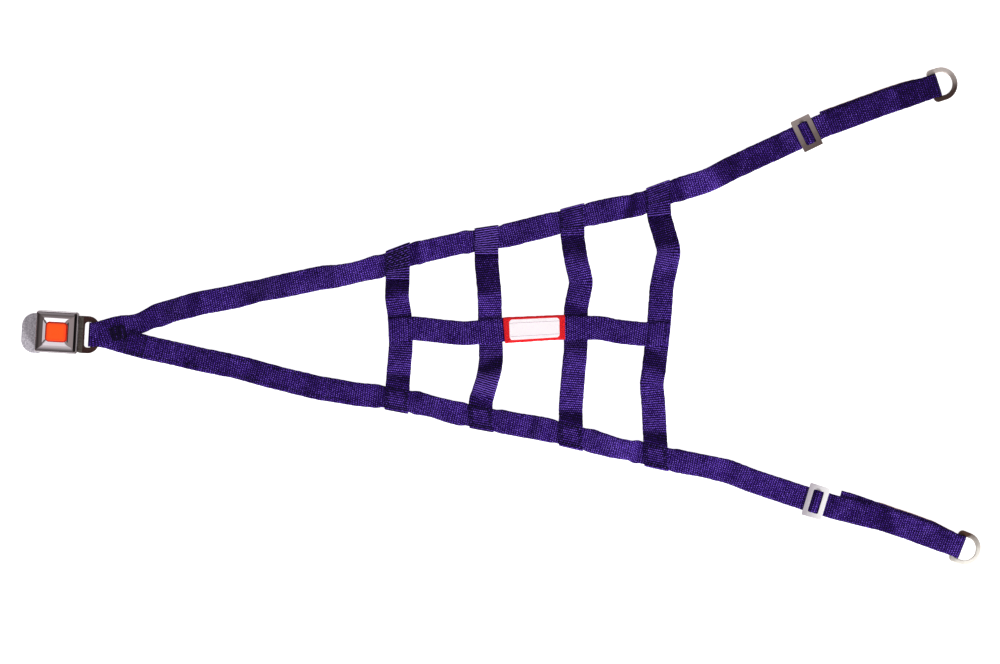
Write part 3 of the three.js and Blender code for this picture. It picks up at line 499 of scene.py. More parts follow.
def centre_lengths():
    first, last = crossings[0].middle, crossings[3].middle
    left, right = first[0] - CENTRE_ENDS[0], last[0] + CENTRE_ENDS[1]
    skews = (float(centre.slope(left) + crosses[0].slope(first[1])), 0, 0,
             float(centre.slope(right) + crosses[3].slope(last[1])))
    centre.stops = [stop(c.middle[0], HALF + 5, 9, rise=LAYER, skew=skew) for c, skew in zip(crossings, skews)]
    return join(run(centre, left, right))

# %% [markdown]
# ## From stations to webbing
# The middle surface is a grid: stations along, and thirteen columns across. Its two faces lie half
# the thickness above and below it. Heavy nylon webbing is woven in ribs across its width, so every
# second station stands a little proud, and the selvedges are rounded and thinner. A UV map in
# millimetres runs along and across the strap, because the weave has to follow every fold.

# %% The surface of a strap
COLUMNS = 13
RIB_HEIGHT, SELVEDGE_UNEVEN, SELVEDGE_THINNER = 0.10, 0.11, 0.45

class Surface:
    """The grid of a strap's middle surface, with its normals and the length along it."""
    def __init__(self, course, lengths):
        s = self.s = lengths
        share = np.linspace(-0.5, 0.5, COLUMNS)
        left = np.stack([-s["direction"][:, 1], s["direction"][:, 0], np.zeros(len(s["at"]))], -1)
        uneven = np.random.default_rng(len(s["at"])).normal(0, SELVEDGE_UNEVEN, (len(s["at"]), 2))
        uneven = np.apply_along_axis(np.convolve, 0, uneven, [0.4, 0.6, 0.4], "same")
        offset = s["width"][:, None] * share[None, :]
        offset += uneven[:, :1] * (share < -0.45) + uneven[:, 1:] * (share > 0.45)
        tilt = np.radians(s["tilt"])[:, None]
        grid = s["middle"][:, None, :] + left[:, None, :] * (offset * np.cos(tilt))[..., None]
        grid = grid + s["direction"][:, None, :] * (offset * s["skew"][:, None])[..., None]
        there = smooth(course.rows, 2, s["at"][:, None] - s["slant"][:, None] * offset)
        here = smooth(course.rows, 2, s["at"])[:, None]
        grid[..., 2] += offset * np.sin(tilt) + (there - here) * (1 - s["calm"][:, None])
        grid[..., :2] += CENTRING
        normal = np.cross(np.gradient(grid, axis=0), np.gradient(grid, axis=1))
        self.grid, self.share, self.offset = grid, share, offset
        self.normal = normal / np.linalg.norm(normal, axis=-1, keepdims=True)
        steps = np.linalg.norm(np.diff(grid[:, COLUMNS // 2], axis=0), axis=-1)
        self.run = np.concatenate([[0], np.cumsum(steps)])
        self.ribbed, self.tone = np.zeros(grid.shape[:2]), np.zeros(grid.shape[:2])

    def pucker(self, part, start, end, pitch, height):
        """Small waves along both edges, as a row of stitches leaves them."""
        at, inside = self.s["at"], self.s["part"] == part
        share = np.clip(np.minimum(at - start, end - at) / 8, 0, 1) * inside
        wave = np.cos(2 * np.pi * self.run / pitch + np.sin(self.run / 31))
        near_edge = smoothstep(np.abs(self.share), 0.2, 0.42)
        self.grid[..., 2] += height * (1 + wave * share)[:, None] * share[:, None] * near_edge[None, :]

    def paint(self, field, part, start, end, value, slant=0, soft=5.0):
        """Set one of the weave's fields along a stretch, with soft ends that may cross at a slant."""
        at, inside = self.s["at"][:, None] + slant * self.offset, (self.s["part"] == part)[:, None]
        middle, half = (start + end) / 2, abs(end - start) / 2
        share = (1 - smoothstep(np.abs(at - middle), half - soft / 2, half + soft)) * inside
        setattr(self, field, blend(getattr(self, field), value, share))

    def along(self, part, at):
        """The station of a place in one length, with its fraction."""
        inside = np.where(self.s["part"] == part)[0]
        order = inside[np.argsort(self.s["at"][inside])]
        return float(np.interp(at, self.s["at"][order], order))

    def spot(self, station, share, lift=0.0):
        """A point on the side that faces up, lift above it, at a station and share of the width."""
        i = np.clip(station, 0, len(self.run) - 1.001)
        j = np.clip((share + 0.5) * (COLUMNS - 1), 0, COLUMNS - 1.001)
        a, b, u, v = int(i), int(j), i % 1, j % 1
        def mix(field):
            near, far = [blend(field[a, column], field[a + 1, column], u) for column in (b, b + 1)]
            return blend(near, far, v)
        point, normal = mix(self.grid), mix(self.normal)
        normal = normal / np.linalg.norm(normal) * (1 if normal[2] > 0 else -1)
        return point + normal * (WEB_THICK / 2 + lift)

# %% The mesh of a strap
def mark_points(mesh, name, values):
    """Keep a value for each point of a mesh, for its material to read."""
    field = mesh.attributes.new(name, "FLOAT", "POINT")
    field.data.foreach_set("value", np.array(values, np.float32).ravel())

def strap_mesh(name, surface, thick=WEB_THICK, rib=RIB_HEIGHT):
    n, c = len(surface.run), COLUMNS
    edge = 1 - SELVEDGE_THINNER * np.abs(2 * surface.share) ** 10
    proud = np.where(np.arange(n) % 2 == 0, rib, -rib) / 2
    lift = surface.normal * ((thick / 2 - rib / 2 + proud[:, None]) * edge[None, :])[..., None]
    vertices = np.stack([surface.grid + lift, surface.grid - lift]).reshape(-1, 3) * MM
    k = np.arange(c)
    ring = np.concatenate([k, n * c + k[::-1]])  # once round a station: over the top and back below
    a, b = [np.arange(n - 1)[:, None] * c + corner for corner in (ring, np.roll(ring, -1))]
    sides = np.stack([a, a + c, b + c, b], -1).reshape(-1, 4)
    start = np.stack([k, k + 1, n * c + k + 1, n * c + k], -1)[:-1]
    faces = np.concatenate([sides, start, (start + (n - 1) * c)[:, ::-1]])
    mesh = bpy.data.meshes.new(name)
    mesh.from_pydata(vertices.tolist(), [], faces.tolist())
    along, across = np.tile(np.repeat(surface.run, c), 2), np.tile(surface.share * WEB_WIDTH, n * 2)
    corner = np.zeros(len(mesh.loops), np.int32)
    mesh.loops.foreach_get("vertex_index", corner)
    uv = mesh.uv_layers.new(name="weave")
    uv.data.foreach_set("uv", np.stack([along[corner], across[corner]], -1).astype(np.float32).ravel())
    mark_points(mesh, "ribbed", [surface.ribbed, surface.ribbed])
    # the painted shade and light of each stretch, for the webbing's colour
    mark_points(mesh, "tone", [surface.tone, surface.tone])
    mesh.shade_smooth()
    return put(name, mesh)

# %% [markdown]
# ## The look of nylon webbing
# Close up, the webbing is rows of short floats, offset from row to row like fish scales. The colour
# paints each crown as a painted highlight, and the gap beside it nearly black as painted shade. The
# pattern is drawn from the UV map: one wave along the strap, and one across it that shifts by half a
# float in every second row. One noise bends the rows and another breaks the floats up into painted
# glints, because the real weave sparkles irregularly. The folded ends show clear ribs instead: there
# an attribute "ribbed" turns the floats into bright lines across the strap. A second attribute darkens
# a stretch with painted shade or brightens it with painted light, near folds, crossings, slide windows
# and ring ends.

# %% The webbing's material
RIB_PITCH, FLOAT_PITCH = 2.4, 2.1

def webbing_material():
    look = Finish("webbing", Roughness=0.6, Sheen_Weight=0.05, Sheen_Roughness=0.4,
                  Sheen_Tint=(0.35, 0.2, 1.0, 1), Specular_IOR_Level=0.1)
    uv, ribbed = look.weave(), look.mark("ribbed")
    wobble = look.noise(uv, 0.35, out=1)
    along, across = look.split(look.vectors("MULTIPLY_ADD", wobble, (1.5, 1.5, 0.0), out=0, _2=uv))
    row = along / RIB_PITCH
    wave_row = abs((row * math.pi).maths("SINE"))
    shifted = across / FLOAT_PITCH + row.maths("FLOOR") % 2.0 * 0.5
    wave_float = abs((shifted * math.pi).maths("SINE"))
    scale = look.blend(wave_row * wave_float, wave_row ** 5.0 * 1.25, ribbed)
    sparkle = (look.noise(uv, 0.62, roughness=0.7) - 0.5) * look.blend(2.1, 1.9, ribbed)
    patchy = look.noise(uv, 0.07) * 0.6 - 0.32
    # the base colour: crowns as painted highlight, gaps as painted shade, sparkle as painted glints, plus the
    # painted shade and light of each stretch
    lit = scale * 1.15 - 0.19 + sparkle + patchy + look.mark("tone")
    look.plug(Base_Color=look.ramp(lit, (0.0, (12, 0, 36)), (0.38, (44, 14, 102)), (0.7, (76, 43, 154)),
                                   (1.0, (126, 94, 206))))
    look.bump(scale + sparkle, 0.8, 0.0004)
    return look.material

WEBBING = webbing_material()
print("webbing:", len(WEBBING.node_tree.nodes), "nodes")

# %% [markdown]
# Now the seven straps are made, each in the place of its CAD node.

# %% Where painted shade or painted light falls on the weave, and where it is ribbed
# for each strap: length, from, to, value, and a slant where the edge crosses at one
# painted shade below zero and painted light above it, on stretches near folds, crossings, slide windows and
# ring ends
PAINTED_SHADING_STRETCHES = {
    "side_strap_upper": [
        (2, -424, -400, -0.16), (2, -384, -366, -0.16), (2, -102, -88, -0.12), (2, -74, -44, -0.12),
        (2, -330, -318, -0.18), (2, 134, 142, -0.45, -0.5), (2, 144, 189, -0.16), (2, 194, 226, 0.10),
        (2, 230, 296, -0.18), (2, 346, 406, -0.16), (2, 420, 470, -0.34), (3, 440, 470, -0.40),
        (2, 314, 319, -0.30), (2, 327, 332, -0.30),
    ],
    "side_strap_lower": [
        (0, -398, -376, -0.14), (0, -365, -50, -0.06), (0, 86, 145, 0.06), (0, 345, 378, -0.05),
        (0, 386, 414, -0.22, 0.7), (1, 470, 500, -0.12), (0, 323, 328, -0.30), (0, 337, 342, -0.30),
    ],
    "cross_strap_1": [
        (4, 40, 90, -0.16), (2, 25, 50, -0.38, 0.3), (2, -30, 12, -0.08), (2, -84, -66, -0.26),
    ],
    "cross_strap_2": [
        (4, 60, 120, 0.06), (2, 60, 90, -0.50), (2, 26, 58, -0.28), (2, -57, -49, -0.42, 0.6),
        (2, -80, -62, 0.16), (2, -98, -90, -0.34), (2, -122, -100, -0.10),
    ],
    "cross_strap_3": [
        (4, 84, 140, -0.10), (2, 69, 98, -0.32), (2, 3, 10, -0.45), (2, -98, -42, 0.05),
        (2, -113, -105, -0.52), (2, -144, -114, -0.08),
    ],
    "cross_strap_4": [
        (4, 110, 170, -0.10), (2, 77, 120, -0.30), (2, 50, 63, 0.16, 0.1), (2, 12, 42, -0.08),
        (2, -54, -40, -0.32, -0.3), (2, -135, -127, -0.52), (2, -165, -136, -0.10),
    ],
}
RIBS = {"cross_strap_2": [(2, -80, -62, 1.0)], "cross_strap_3": [(4, 84, 140, 0.5)],
        "cross_strap_4": [(4, 110, 170, 0.5)]}
CROSS_RIBBED, FOLD_RIBBED = 0.35, 0.9
LOWER_PUCKERS = (-396, -160, 10.2, 0.35)
print("stretches with a tone:", sum(len(rows) for rows in PAINTED_SHADING_STRETCHES.values()))

# %% Make the straps
surfaces = {}

def lay_sheet(piece, material, node):
    piece.data.materials.append(material)
    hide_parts(node)
    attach(piece, "net")

def make_strap(node, course, lengths, ribbed=()):
    surface = surfaces[node] = Surface(course, lengths)
    plain = CROSS_RIBBED if course.along == "y" else 0.0
    surface.ribbed[:] = np.where(np.isin(lengths["part"], ribbed), FOLD_RIBBED, plain)[:, None]
    for field, stretches in (("tone", PAINTED_SHADING_STRETCHES), ("ribbed", RIBS)):
        for stretch in stretches.get(node, ()):
            surface.paint(field, *stretch)
    if node == "side_strap_lower":
        surface.pucker(0, *LOWER_PUCKERS)
    lay_sheet(strap_mesh(f"{node}_webbing", surface), WEBBING, node)

make_strap("side_strap_upper", upper, upper_lengths())
make_strap("side_strap_lower", lower, lower_lengths())
for k in range(4):
    make_strap(f"cross_strap_{k + 1}", crosses[k], cross_lengths(k), ribbed=(3, 4))
make_strap("centre_strap", centre, centre_lengths())

# %% [markdown]
# ## Hard pieces as lofts
# The buckle, the slides and the rings are stamped or cast, with small rounded edges that catch the
# light. Each is a row of closed rings of points, rectangles with round corners, with faces between
# them. An extra ring just inside each rounded edge keeps the broad faces flat.

# %% Rings of points and lofts
FLAT_KEEPER = 0.15

def outline(x0, x1, half, left, right, mid=0.0, steps=12):
    """A rectangle with round corners: limits in x, half width about mid, radii of both pairs."""
    centres = ((x1 - right, mid + half - right, right), (x0 + left, mid + half - left, left),
               (x0 + left, mid - half + left, left), (x1 - right, mid - half + right, right))
    arcs = []
    for quarter, (x, y, radius) in enumerate(centres):
        angle = np.radians(np.linspace(0, 90, steps + 1) + 90 * quarter)
        arcs.append(np.stack([x + radius * np.cos(angle), y + radius * np.sin(angle)], -1))
    return np.concatenate(arcs)

def shrink(limits, by):
    x0, x1, half, left, right, mid = limits
    return (x0 + by, x1 - by, half - by, max(left - by, 0.05), max(right - by, 0.05), mid)

def ring_of(limits, z):
    points = outline(*limits)
    return np.column_stack([points, np.full(len(points), z)])

def edge_rings(limits, bottom, top, radius, hole=False, steps=5):
    """Rings from the underside round both rounded edges to the top; a hole's run the other way."""
    quarter = np.radians(np.linspace(0, 90, steps + 1))
    low = [(radius * (1 - math.sin(q)), bottom + radius * (1 - math.cos(q))) for q in quarter]
    high = [(radius * (1 - math.cos(q)), top - radius * (1 - math.sin(q))) for q in quarter]
    profile = [(radius + FLAT_KEEPER, bottom), *low, *high, (radius + FLAT_KEEPER, top)]
    if hole:
        profile = [(-by, z) for by, z in profile[::-1]]
    return [ring_of(shrink(limits, by), z) for by, z in profile]

def loft(rings, closed=False):
    """Vertices and faces between rings, with a cap at each end unless the loft closes on itself."""
    rings = np.asarray(rings)
    count, around = rings.shape[:2]
    faces = []
    for k in range(count if closed else count - 1):
        a, b = k * around, (k + 1) % count * around
        faces += [(a + i, a + (i + 1) % around, b + (i + 1) % around, b + i) for i in range(around)]
    if not closed:
        faces += [tuple(range(around - 1, -1, -1)), tuple((count - 1) * around + i for i in range(around))]
    return rings.reshape(-1, 3), faces

def box_shell(x0, x1, y0, y1, z0, z1):
    floor = ((x0, y0), (x1, y0), (x1, y1), (x0, y1))
    corners = np.array([(x, y, z) for z in (z0, z1) for x, y in floor], float)
    faces = [(3, 2, 1, 0), (4, 5, 6, 7), (0, 1, 5, 4), (1, 2, 6, 5), (2, 3, 7, 6), (3, 0, 4, 7)]
    return corners, faces

# %% Hard pieces in their place
def local_frame(x, y, turn, z=0.0, tip=0.0):
    """From a piece's own directions to the net's, in millimetres."""
    place = Matrix.Translation((x + CENTRING[0], y + CENTRING[1], z))
    return place @ Matrix.Rotation(turn, 4, "Z") @ Matrix.Rotation(tip, 4, "Y")

def hard_piece(name, shells, frame_of, material, node, body="net", sharp=38):
    """One object from shells of (vertices, faces) in a local frame; it stands for a CAD node."""
    vertices, faces = [], []
    for shell_vertices, shell_faces in shells:
        faces += [tuple(len(vertices) + i for i in face) for face in shell_faces]
        vertices += [frame_of @ Vector(v) * MM for v in shell_vertices]
    mesh = bpy.data.meshes.new(name)
    mesh.from_pydata(vertices, [], faces)
    work = bmesh.new()
    work.from_mesh(mesh)
    bmesh.ops.recalc_face_normals(work, faces=work.faces)
    work.to_mesh(mesh)
    work.free()
    mesh.shade_smooth()
    mesh.set_sharp_from_angle(angle=math.radians(sharp))
    mesh.materials.append(material)
    piece = put(name, mesh)
    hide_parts(node)
    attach(piece, body)
    print(name, len(mesh.polygons), "faces")
    return piece

# %% [markdown]
# ## Metal finishes
# The chrome is nearly a mirror, and some rows of the cover get a painted dark reflection. The nickel of
# the slides and rings has painted shade on one side and painted light on the other, and the casting of
# the base has a dimpled skin. Noise keeps all three from looking like plastic.

# %% The metals
CHROME_BRIGHT, CHROME_PAINTED_DARK, CHROME_ROUGH = (212, 204, 208), (48, 38, 40), 0.09

def chrome():
    """Mirror chrome; an attribute marks the rows of the cover that get a painted dark reflection."""
    look = Finish("chrome_cover", Metallic=1.0)
    cloud = look.noise(look.place(), 120.0, 3.0)
    # the shade rows get a dark reflection painted into the base colour
    colour = look.ramp(look.mark("shade"), (0.1, CHROME_BRIGHT), (0.45, CHROME_PAINTED_DARK))
    look.plug(Base_Color=colour, Roughness=cloud * (CHROME_ROUGH * 0.6) + CHROME_ROUGH * 0.7)
    return look.material

def lit_and_shaded_nickel(name, centre, heading, reach, shaded_colour, lit_colour):
    """Nickel with painted shade that turns to painted light along a heading, in degrees, over the length of a
    piece.
    """
    look = Finish(name, Metallic=0.25, Roughness=0.36)
    place = look.place()
    way = (math.cos(math.radians(heading)), math.sin(math.radians(heading)), 0.0)
    from_middle = look.vectors("SUBTRACT", place, Vector(centre) * MM, out=0)
    along = look.vectors("DOT_PRODUCT", from_middle, way)
    share = along * (500.0 / reach) + 0.5 + (look.noise(place, 160.0, 3.0) * 0.5 - 0.25)
    # the ramp paints shade on one side of the piece and light on the other
    look.plug(Base_Color=look.ramp(share, (0.05, shaded_colour), (0.95, lit_colour)))
    return look.material

def hammered_metal():
    """Cast grey metal with a dimpled skin: noise bumps the dimples, and the same noise paints them lighter and
    darker as painted light.
    """
    look = Finish("cast_grey", Metallic=0.0, Roughness=0.55, Specular_IOR_Level=0.3)
    dimples = look.noise(look.place(), 620.0, 1.0)
    look.plug(Base_Color=look.ramp(dimples, (0.32, (166, 162, 172)), (0.5, (190, 186, 195)),
                                   (0.68, (214, 211, 218))))
    look.bump(dimples, 0.25, 0.0003)
    return look.material

CHROME, HAMMERED = chrome(), hammered_metal()
print("metals:", CHROME.name, HAMMERED.name)

# %% [markdown]
# ## The buckle
# The base is a casting with a round lip on the left, where the latch plate slides in. The chromed
# cover is pressed from sheet: its rim stands proud, and a dish slopes down to the button's window.

# %% The buckle's base
BUCKLE_AT, BUCKLE_TURN = (-469.6, -17.4), math.radians(-3.3)
BUCKLE = local_frame(*BUCKLE_AT, BUCKLE_TURN)
LIP = (-37.6, -16.0, 21.3, 14.0, 3.0, -1.4)
FLOOR = (-20.0, 22.2, 20.4, 3.0, 3.0, 0.6)
LIP_TOP, BLOCK_TOP, MOUTH_TOP, MOUTH_HALF = 4.5, 12.4, 9.1, 13.0
BLOCK = (-18.8, 20.4, 18.5)
MOUTH_END, POCKET_FLOOR = 9.0, 9.8

def base_shells():
    x0, x1, half = BLOCK
    return [
        loft(edge_rings(LIP, 0, LIP_TOP, 0.9)), loft(edge_rings(FLOOR, 0, LIP_TOP - 0.02, 0.9)),
        box_shell(x0, x1, MOUTH_HALF, half, 2, BLOCK_TOP), box_shell(x0, x1, -half, -MOUTH_HALF, 2, BLOCK_TOP),
        box_shell(MOUTH_END, x1, -MOUTH_HALF, MOUTH_HALF, 2, MOUTH_TOP + 0.1),
        box_shell(x0, x1, -MOUTH_HALF, MOUTH_HALF, MOUTH_TOP, POCKET_FLOOR),
    ]

hard_piece("buckle_base_cast", base_shells(), BUCKLE, HAMMERED, "buckle_base")

# %% [markdown]
# The cover is one closed loft. Its rows give the height, the limits along and across, and the
# corner radius, from the lower edge up the outside, over the rim, down the dish, round the
# window's rolled edge and back along the inside. Cutting the corners between rows twice rounds it.

# %% The buckle's cover
# the shade column says how much dark reflection is painted on that row of the chrome
COVER_ROWS = [  # z, x0, x1, half, mid, corner, shade
    (4.8, -20.6, 24.2, 22.3, 1.1, 3.2, 0), (9.0, -20.6, 24.2, 22.3, 1.1, 3.2, 0),
    (15.5, -20.5, 24.2, 22.3, 1.1, 3.2, 0.1), (18.2, -20.4, 24.0, 22.1, 1.1, 3.1, 1),
    (19.2, -20.2, 23.5, 21.7, 1.2, 2.8, 0), (19.2, -19.9, 22.7, 21.0, 1.2, 2.0, 0),
    (17.7, -19.7, 20.4, 19.6, 1.2, 1.2, 0.55), (16.9, -15.2, 19.0, 15.6, 1.1, 1.4, 0),
    (16.5, -13.5, 14.8, 13.9, 1.1, 2.2, 0), (16.1, -12.9, 13.4, 13.2, 1.1, 2.8, 0),
    (14.9, -10.5, 11.6, 10.2, 1.1, 3.6, 0), (14.2, -10.2, 11.4, 10.0, 1.1, 3.8, 0),
    (14.3, -12.4, 13.8, 12.7, 1.1, 2.6, 0), (15.9, -18.8, 20.6, 19.2, 1.1, 1.6, 0),
    (13.4, -19.5, 23.0, 21.1, 1.1, 2.0, 0), (4.8, -19.6, 23.0, 21.1, 1.1, 2.0, 0),
]

def round_rows(rows, times):
    """Corner cutting: each pair of neighbouring rows gives two new ones between them."""
    for _ in range(times):
        after = np.roll(rows, -1, axis=0)
        rows = np.stack([rows * 0.75 + after * 0.25, rows * 0.25 + after * 0.75], 1).reshape(-1, rows.shape[1])
    return rows

def cover_shell():
    rows = round_rows(np.array(COVER_ROWS, float), 2)
    rings = [ring_of((x0, x1, half, corner, corner, mid), z) for z, x0, x1, half, mid, corner, _ in rows]
    return loft(rings, closed=True), rows[:, 6]

shell, painted_dark_shares = cover_shell()
cover = hard_piece("buckle_cover_chrome", [shell], BUCKLE, CHROME, "buckle_cover", sharp=60)
mark_points(cover.data, "shade", np.repeat(painted_dark_shares, len(shell[0]) // len(painted_dark_shares)))

# %% [markdown]
# The button is moulded in bright orange plastic with a slightly crowned top. Its rounded rim is painted
# a darker red than the middle as painted shade, and the plastic glows a little as painted light. An
# attribute marks that rim.

# %% The button
BUTTON = (-9.9, 11.0, 9.6, 3.4, 3.4, 1.1)
BUTTON_TOP, FLANGE_BOTTOM, FLANGE_TOP, FLANGE_OUT = 16.4, 12.9, 14.1, 1.5

def button_material():
    # the orange glows a little as painted light, and the ramp paints shade on the rounded rim
    look = Finish("orange_plastic", Roughness=0.42, Specular_IOR_Level=0.35, Emission_Color=rgb(255, 70, 10),
                  Emission_Strength=0.16)
    look.plug(Base_Color=look.ramp(look.mark("rim"), (0.0, (254, 86, 20)), (0.55, (246, 66, 24)),
                                   (1.0, (196, 30, 22))))
    return look.material

def button_rings():
    wide = shrink(BUTTON, -FLANGE_OUT)
    rings = [ring_of(wide, FLANGE_BOTTOM), ring_of(wide, FLANGE_TOP), ring_of(BUTTON, FLANGE_TOP + 0.05)]
    rim_shade = [1, 1, 1]
    for q in np.radians(np.linspace(0, 90, 8)):
        rings.append(ring_of(shrink(BUTTON, 1.1 * (1 - math.cos(q))), BUTTON_TOP - 1.2 + 1.1 * math.sin(q)))
        rim_shade.append(1 - 0.7 * math.degrees(q) / 90)
    for by, z in ((1.5, 0.02), (3.5, 0.06), (6.5, 0.09)):
        rings.append(ring_of(shrink(BUTTON, by), BUTTON_TOP - 0.1 + z))
        rim_shade.append(0.3 if by < 2 else 0)
    return rings, rim_shade

rings, rim_shade = button_rings()
button = hard_piece("buckle_button_plastic", [loft(rings)], BUCKLE, button_material(), "buckle_button",
                    body="button")
mark_points(button.data, "rim", np.repeat(rim_shade, len(rings[0])))

# %% [markdown]
# The bracket is a stamped steel plate, dark brown, with round shoulders and one wide slot. The
# webbing goes round its outer bar. A paler strip of painted light lies where the neck leaves the cover.

# %% The bracket
BRACKET = (22.9, 44.5, 19.7, 2.0, 12.0, 0.0)
BRACKET_SLOT = (29.0, 35.9, 13.4, 3.0, 1.4, 0.0)
BRACKET_Z = (1.7, 4.2)
COVER_REACH, LIT_STRIP_WIDTH = 24.2, 3.2

def bracket_material():
    look = Finish("dark_steel", Metallic=0.4, Roughness=0.4)
    place, way = look.place(), (math.cos(BUCKLE_TURN), math.sin(BUCKLE_TURN), 0.0)
    middle = [at + by for at, by in zip(BUCKLE_AT, CENTRING)]
    cover_edge = (middle[0] * way[0] + middle[1] * way[1] + COVER_REACH) * MM
    out = (look.vectors("DOT_PRODUCT", place, way) - cover_edge) * 1000.0
    scratch = look.noise(place, 500.0, 3.0)
    # a paler strip of painted light along the neck next to the cover
    lit_strip = out + (scratch * 1.6 - 0.8) < LIT_STRIP_WIDTH
    plain = look.ramp(scratch, (0.35, (46, 24, 22)), (0.65, (72, 44, 40)))
    strip_light = look.ramp(scratch, (0.35, (78, 70, 64)), (0.65, (104, 97, 90)))
    look.plug(Base_Color=look.mix(plain, strip_light, lit_strip))
    return look.material

def bracket_shells():
    plate = edge_rings(BRACKET, *BRACKET_Z, 0.5) + edge_rings(BRACKET_SLOT, *BRACKET_Z, 0.4, hole=True)
    return [loft(plate, closed=True), box_shell(10, 23.9, -15, 15, *BRACKET_Z)]

hard_piece("buckle_bracket_steel", bracket_shells(), BUCKLE, bracket_material(), "buckle_bracket")

# %% [markdown]
# ## Slides and D-rings
# A slide is a flat frame with a middle bar, and the webbing comes up through it and hides that bar.
# A D-ring is stamped from thicker steel. Its bar lies inside the fold of the webbing, and its bow
# drops to the table, so it is tipped by a few degrees.

# %% Slides and D-rings
def slide_shells():
    half, reach = SLIDE["width"] / 2, SLIDE["length"] / 2
    frame_limits = (-reach, reach, half, 1.2, 1.2, 0.0)
    window = (-SLIDE_SLOT, SLIDE_SLOT, half - SLIDE["end"], 1.4, 1.4, 0.0)
    thick, bar, long = SLIDE["thick"], SLIDE["middle"] / 2, half - SLIDE["end"] + 1
    rings = [edge_rings(limits, 0, thick, 0.35, limits is window) for limits in (frame_limits, window)]
    return [loft(sum(rings, []), closed=True), box_shell(-bar, bar, -long, long, 0, thick - 0.02)]

def d_ring_shell():
    bar, half, leg, thick = RING["bar"] / 2, RING["width"] / 2, RING["leg"], RING["thick"] / 2
    open_half = half - RING["bow"]
    outer = (-bar, leg + half, half, RING["corner"], half, 0.0)
    inner = (bar, leg + open_half, open_half, 0.3, open_half, 0.0)
    rings = [edge_rings(limits, -thick, thick, RING["bevel"], limits is inner) for limits in (outer, inner)]
    return loft(sum(rings, []), closed=True)

# heading of the lit side, half the length it changes over, colour of the painted shade and of the painted
# light
NICKEL_LIGHT_AND_SHADE = {
    "slide_upper": (130, 16, (104, 90, 86), (158, 146, 142)),
    "ring_upper": (112, 12, (64, 46, 42), (204, 194, 188)),
    "slide_lower": (-15, 9, (196, 190, 198), (255, 255, 255)),
    "ring_lower": (-60, 13, (78, 52, 42), (255, 252, 242)),
}

# %% Put them on the side straps
def add_slide(side, course, at):
    way, here = course.direction(at), course.point(at, 0.0)
    place = local_frame(here[0], here[1], math.atan2(way[1], way[0]), LAYER)
    finish = lit_and_shaded_nickel(f"nickel_slide_{side}", here, *NICKEL_LIGHT_AND_SHADE[f"slide_{side}"])
    hard_piece(f"slide_{side}_plate", slide_shells(), place, finish, f"slide_{side}")

def add_ring(side, course, at):
    way, here = course.direction(at), course.point(at, 0.0)
    reach, thick = RING["leg"] + RING["width"] / 2 - RING["bevel"], RING["thick"]
    tip = math.asin(RING_HEIGHT / math.hypot(reach, thick / 2)) - math.atan2(thick / 2, reach)
    back = here - way * RING["back"]
    place = local_frame(back[0], back[1], math.atan2(way[1], way[0]), RING_HEIGHT, tip)
    finish = lit_and_shaded_nickel(f"nickel_ring_{side}", here + way * RING["leg"], *NICKEL_LIGHT_AND_SHADE[f"ring_{side}"])
    hard_piece(f"d_ring_{side}_bar", [d_ring_shell()], place, finish, f"d_ring_{side}")

for side, course, end in (("upper", upper, UPPER_END), ("lower", lower, LOWER_END)):
    add_slide(side, course, end["slide"])
    add_ring(side, course, end["ring"])

# %% [markdown]
# ## The label
# A woven label is sewn over the centre strap. It has a red border and a white field with two thin
# grey rules. The lettering of the real one is left off, so the field stays bare.

# %% The label
LABEL = {"left": 2.6, "right": 67.2, "width": (27.7, 26.1), "offset": (-1.0, 0.9), "thick": 1.0,
         "cut_width": 27}
LABEL_FIELD = {"side": 5.9, "edge": 2.7, "corner": 3.2}
RULE_AT, RULE_HALF = 6.6, 0.28

def label_material():
    # the label's colour also glows a little as painted light
    look = Finish("label_cloth", Roughness=0.7, Specular_IOR_Level=0.2, Emission_Strength=0.14)
    uv = look.weave()
    along, across = look.split(uv)
    half, corner = (LABEL["right"] - LABEL["left"]) / 2, LABEL_FIELD["corner"]
    def beyond(value, reach):
        return (abs(value) - (reach - corner)).maths("MAXIMUM", 0.0)
    dx = beyond(along - half, half - LABEL_FIELD["side"])
    dy = beyond(across, HALF - LABEL_FIELD["edge"])
    border = (dx * dx + dy * dy).maths("SQRT") > corner
    rule = abs(abs(across) - RULE_AT) < RULE_HALF
    speck = look.noise(uv, 1.1)
    field = look.ramp(speck, (0.35, (240, 226, 232)), (0.6, (255, 252, 254)))
    red = look.ramp(speck, (0.3, (206, 16, 32)), (0.7, (246, 40, 40)))
    ruled = look.mix(field, rgb(150, 136, 150), rule * 0.6)
    dashes = (dx > corner) * (look.noise(uv, 0.9, 0.0) > 0.58)
    colour = look.mix(look.mix(ruled, red, border), rgb(120, 8, 30), dashes * 0.6)
    look.plug(Base_Color=colour, Emission_Color=colour)
    look.bump((along * 9.0).maths("SINE") * (across * 9.0).maths("SINE"), 0.5, 0.0002)
    return look.material

def label_lengths():
    low, high = LABEL["offset"]
    wide, narrow = LABEL["width"]
    height = LAYER + WEB_THICK + GAP + LABEL["thick"] / 2
    return join(layer(centre, LABEL["left"], LABEL["right"], height, width=lambda t: blend(wide, narrow, t),
                      offset=lambda t: blend(low, high, t)))

surfaces["label"] = Surface(centre, label_lengths())
label = strap_mesh("label_cloth", surfaces["label"], thick=LABEL["thick"], rib=0.0)
lay_sheet(label, label_material(), "label")

# %% [markdown]
# ## Stitches and thread ends
# The net is sewn with heavy nylon thread. Every seam is the same small arched stitch repeated along
# a line, so it is a job for Geometry Nodes: the lines are a mesh of edges laid on the webbing, and
# the tree spaces short rounded threads along them. The result is turned into a plain mesh.

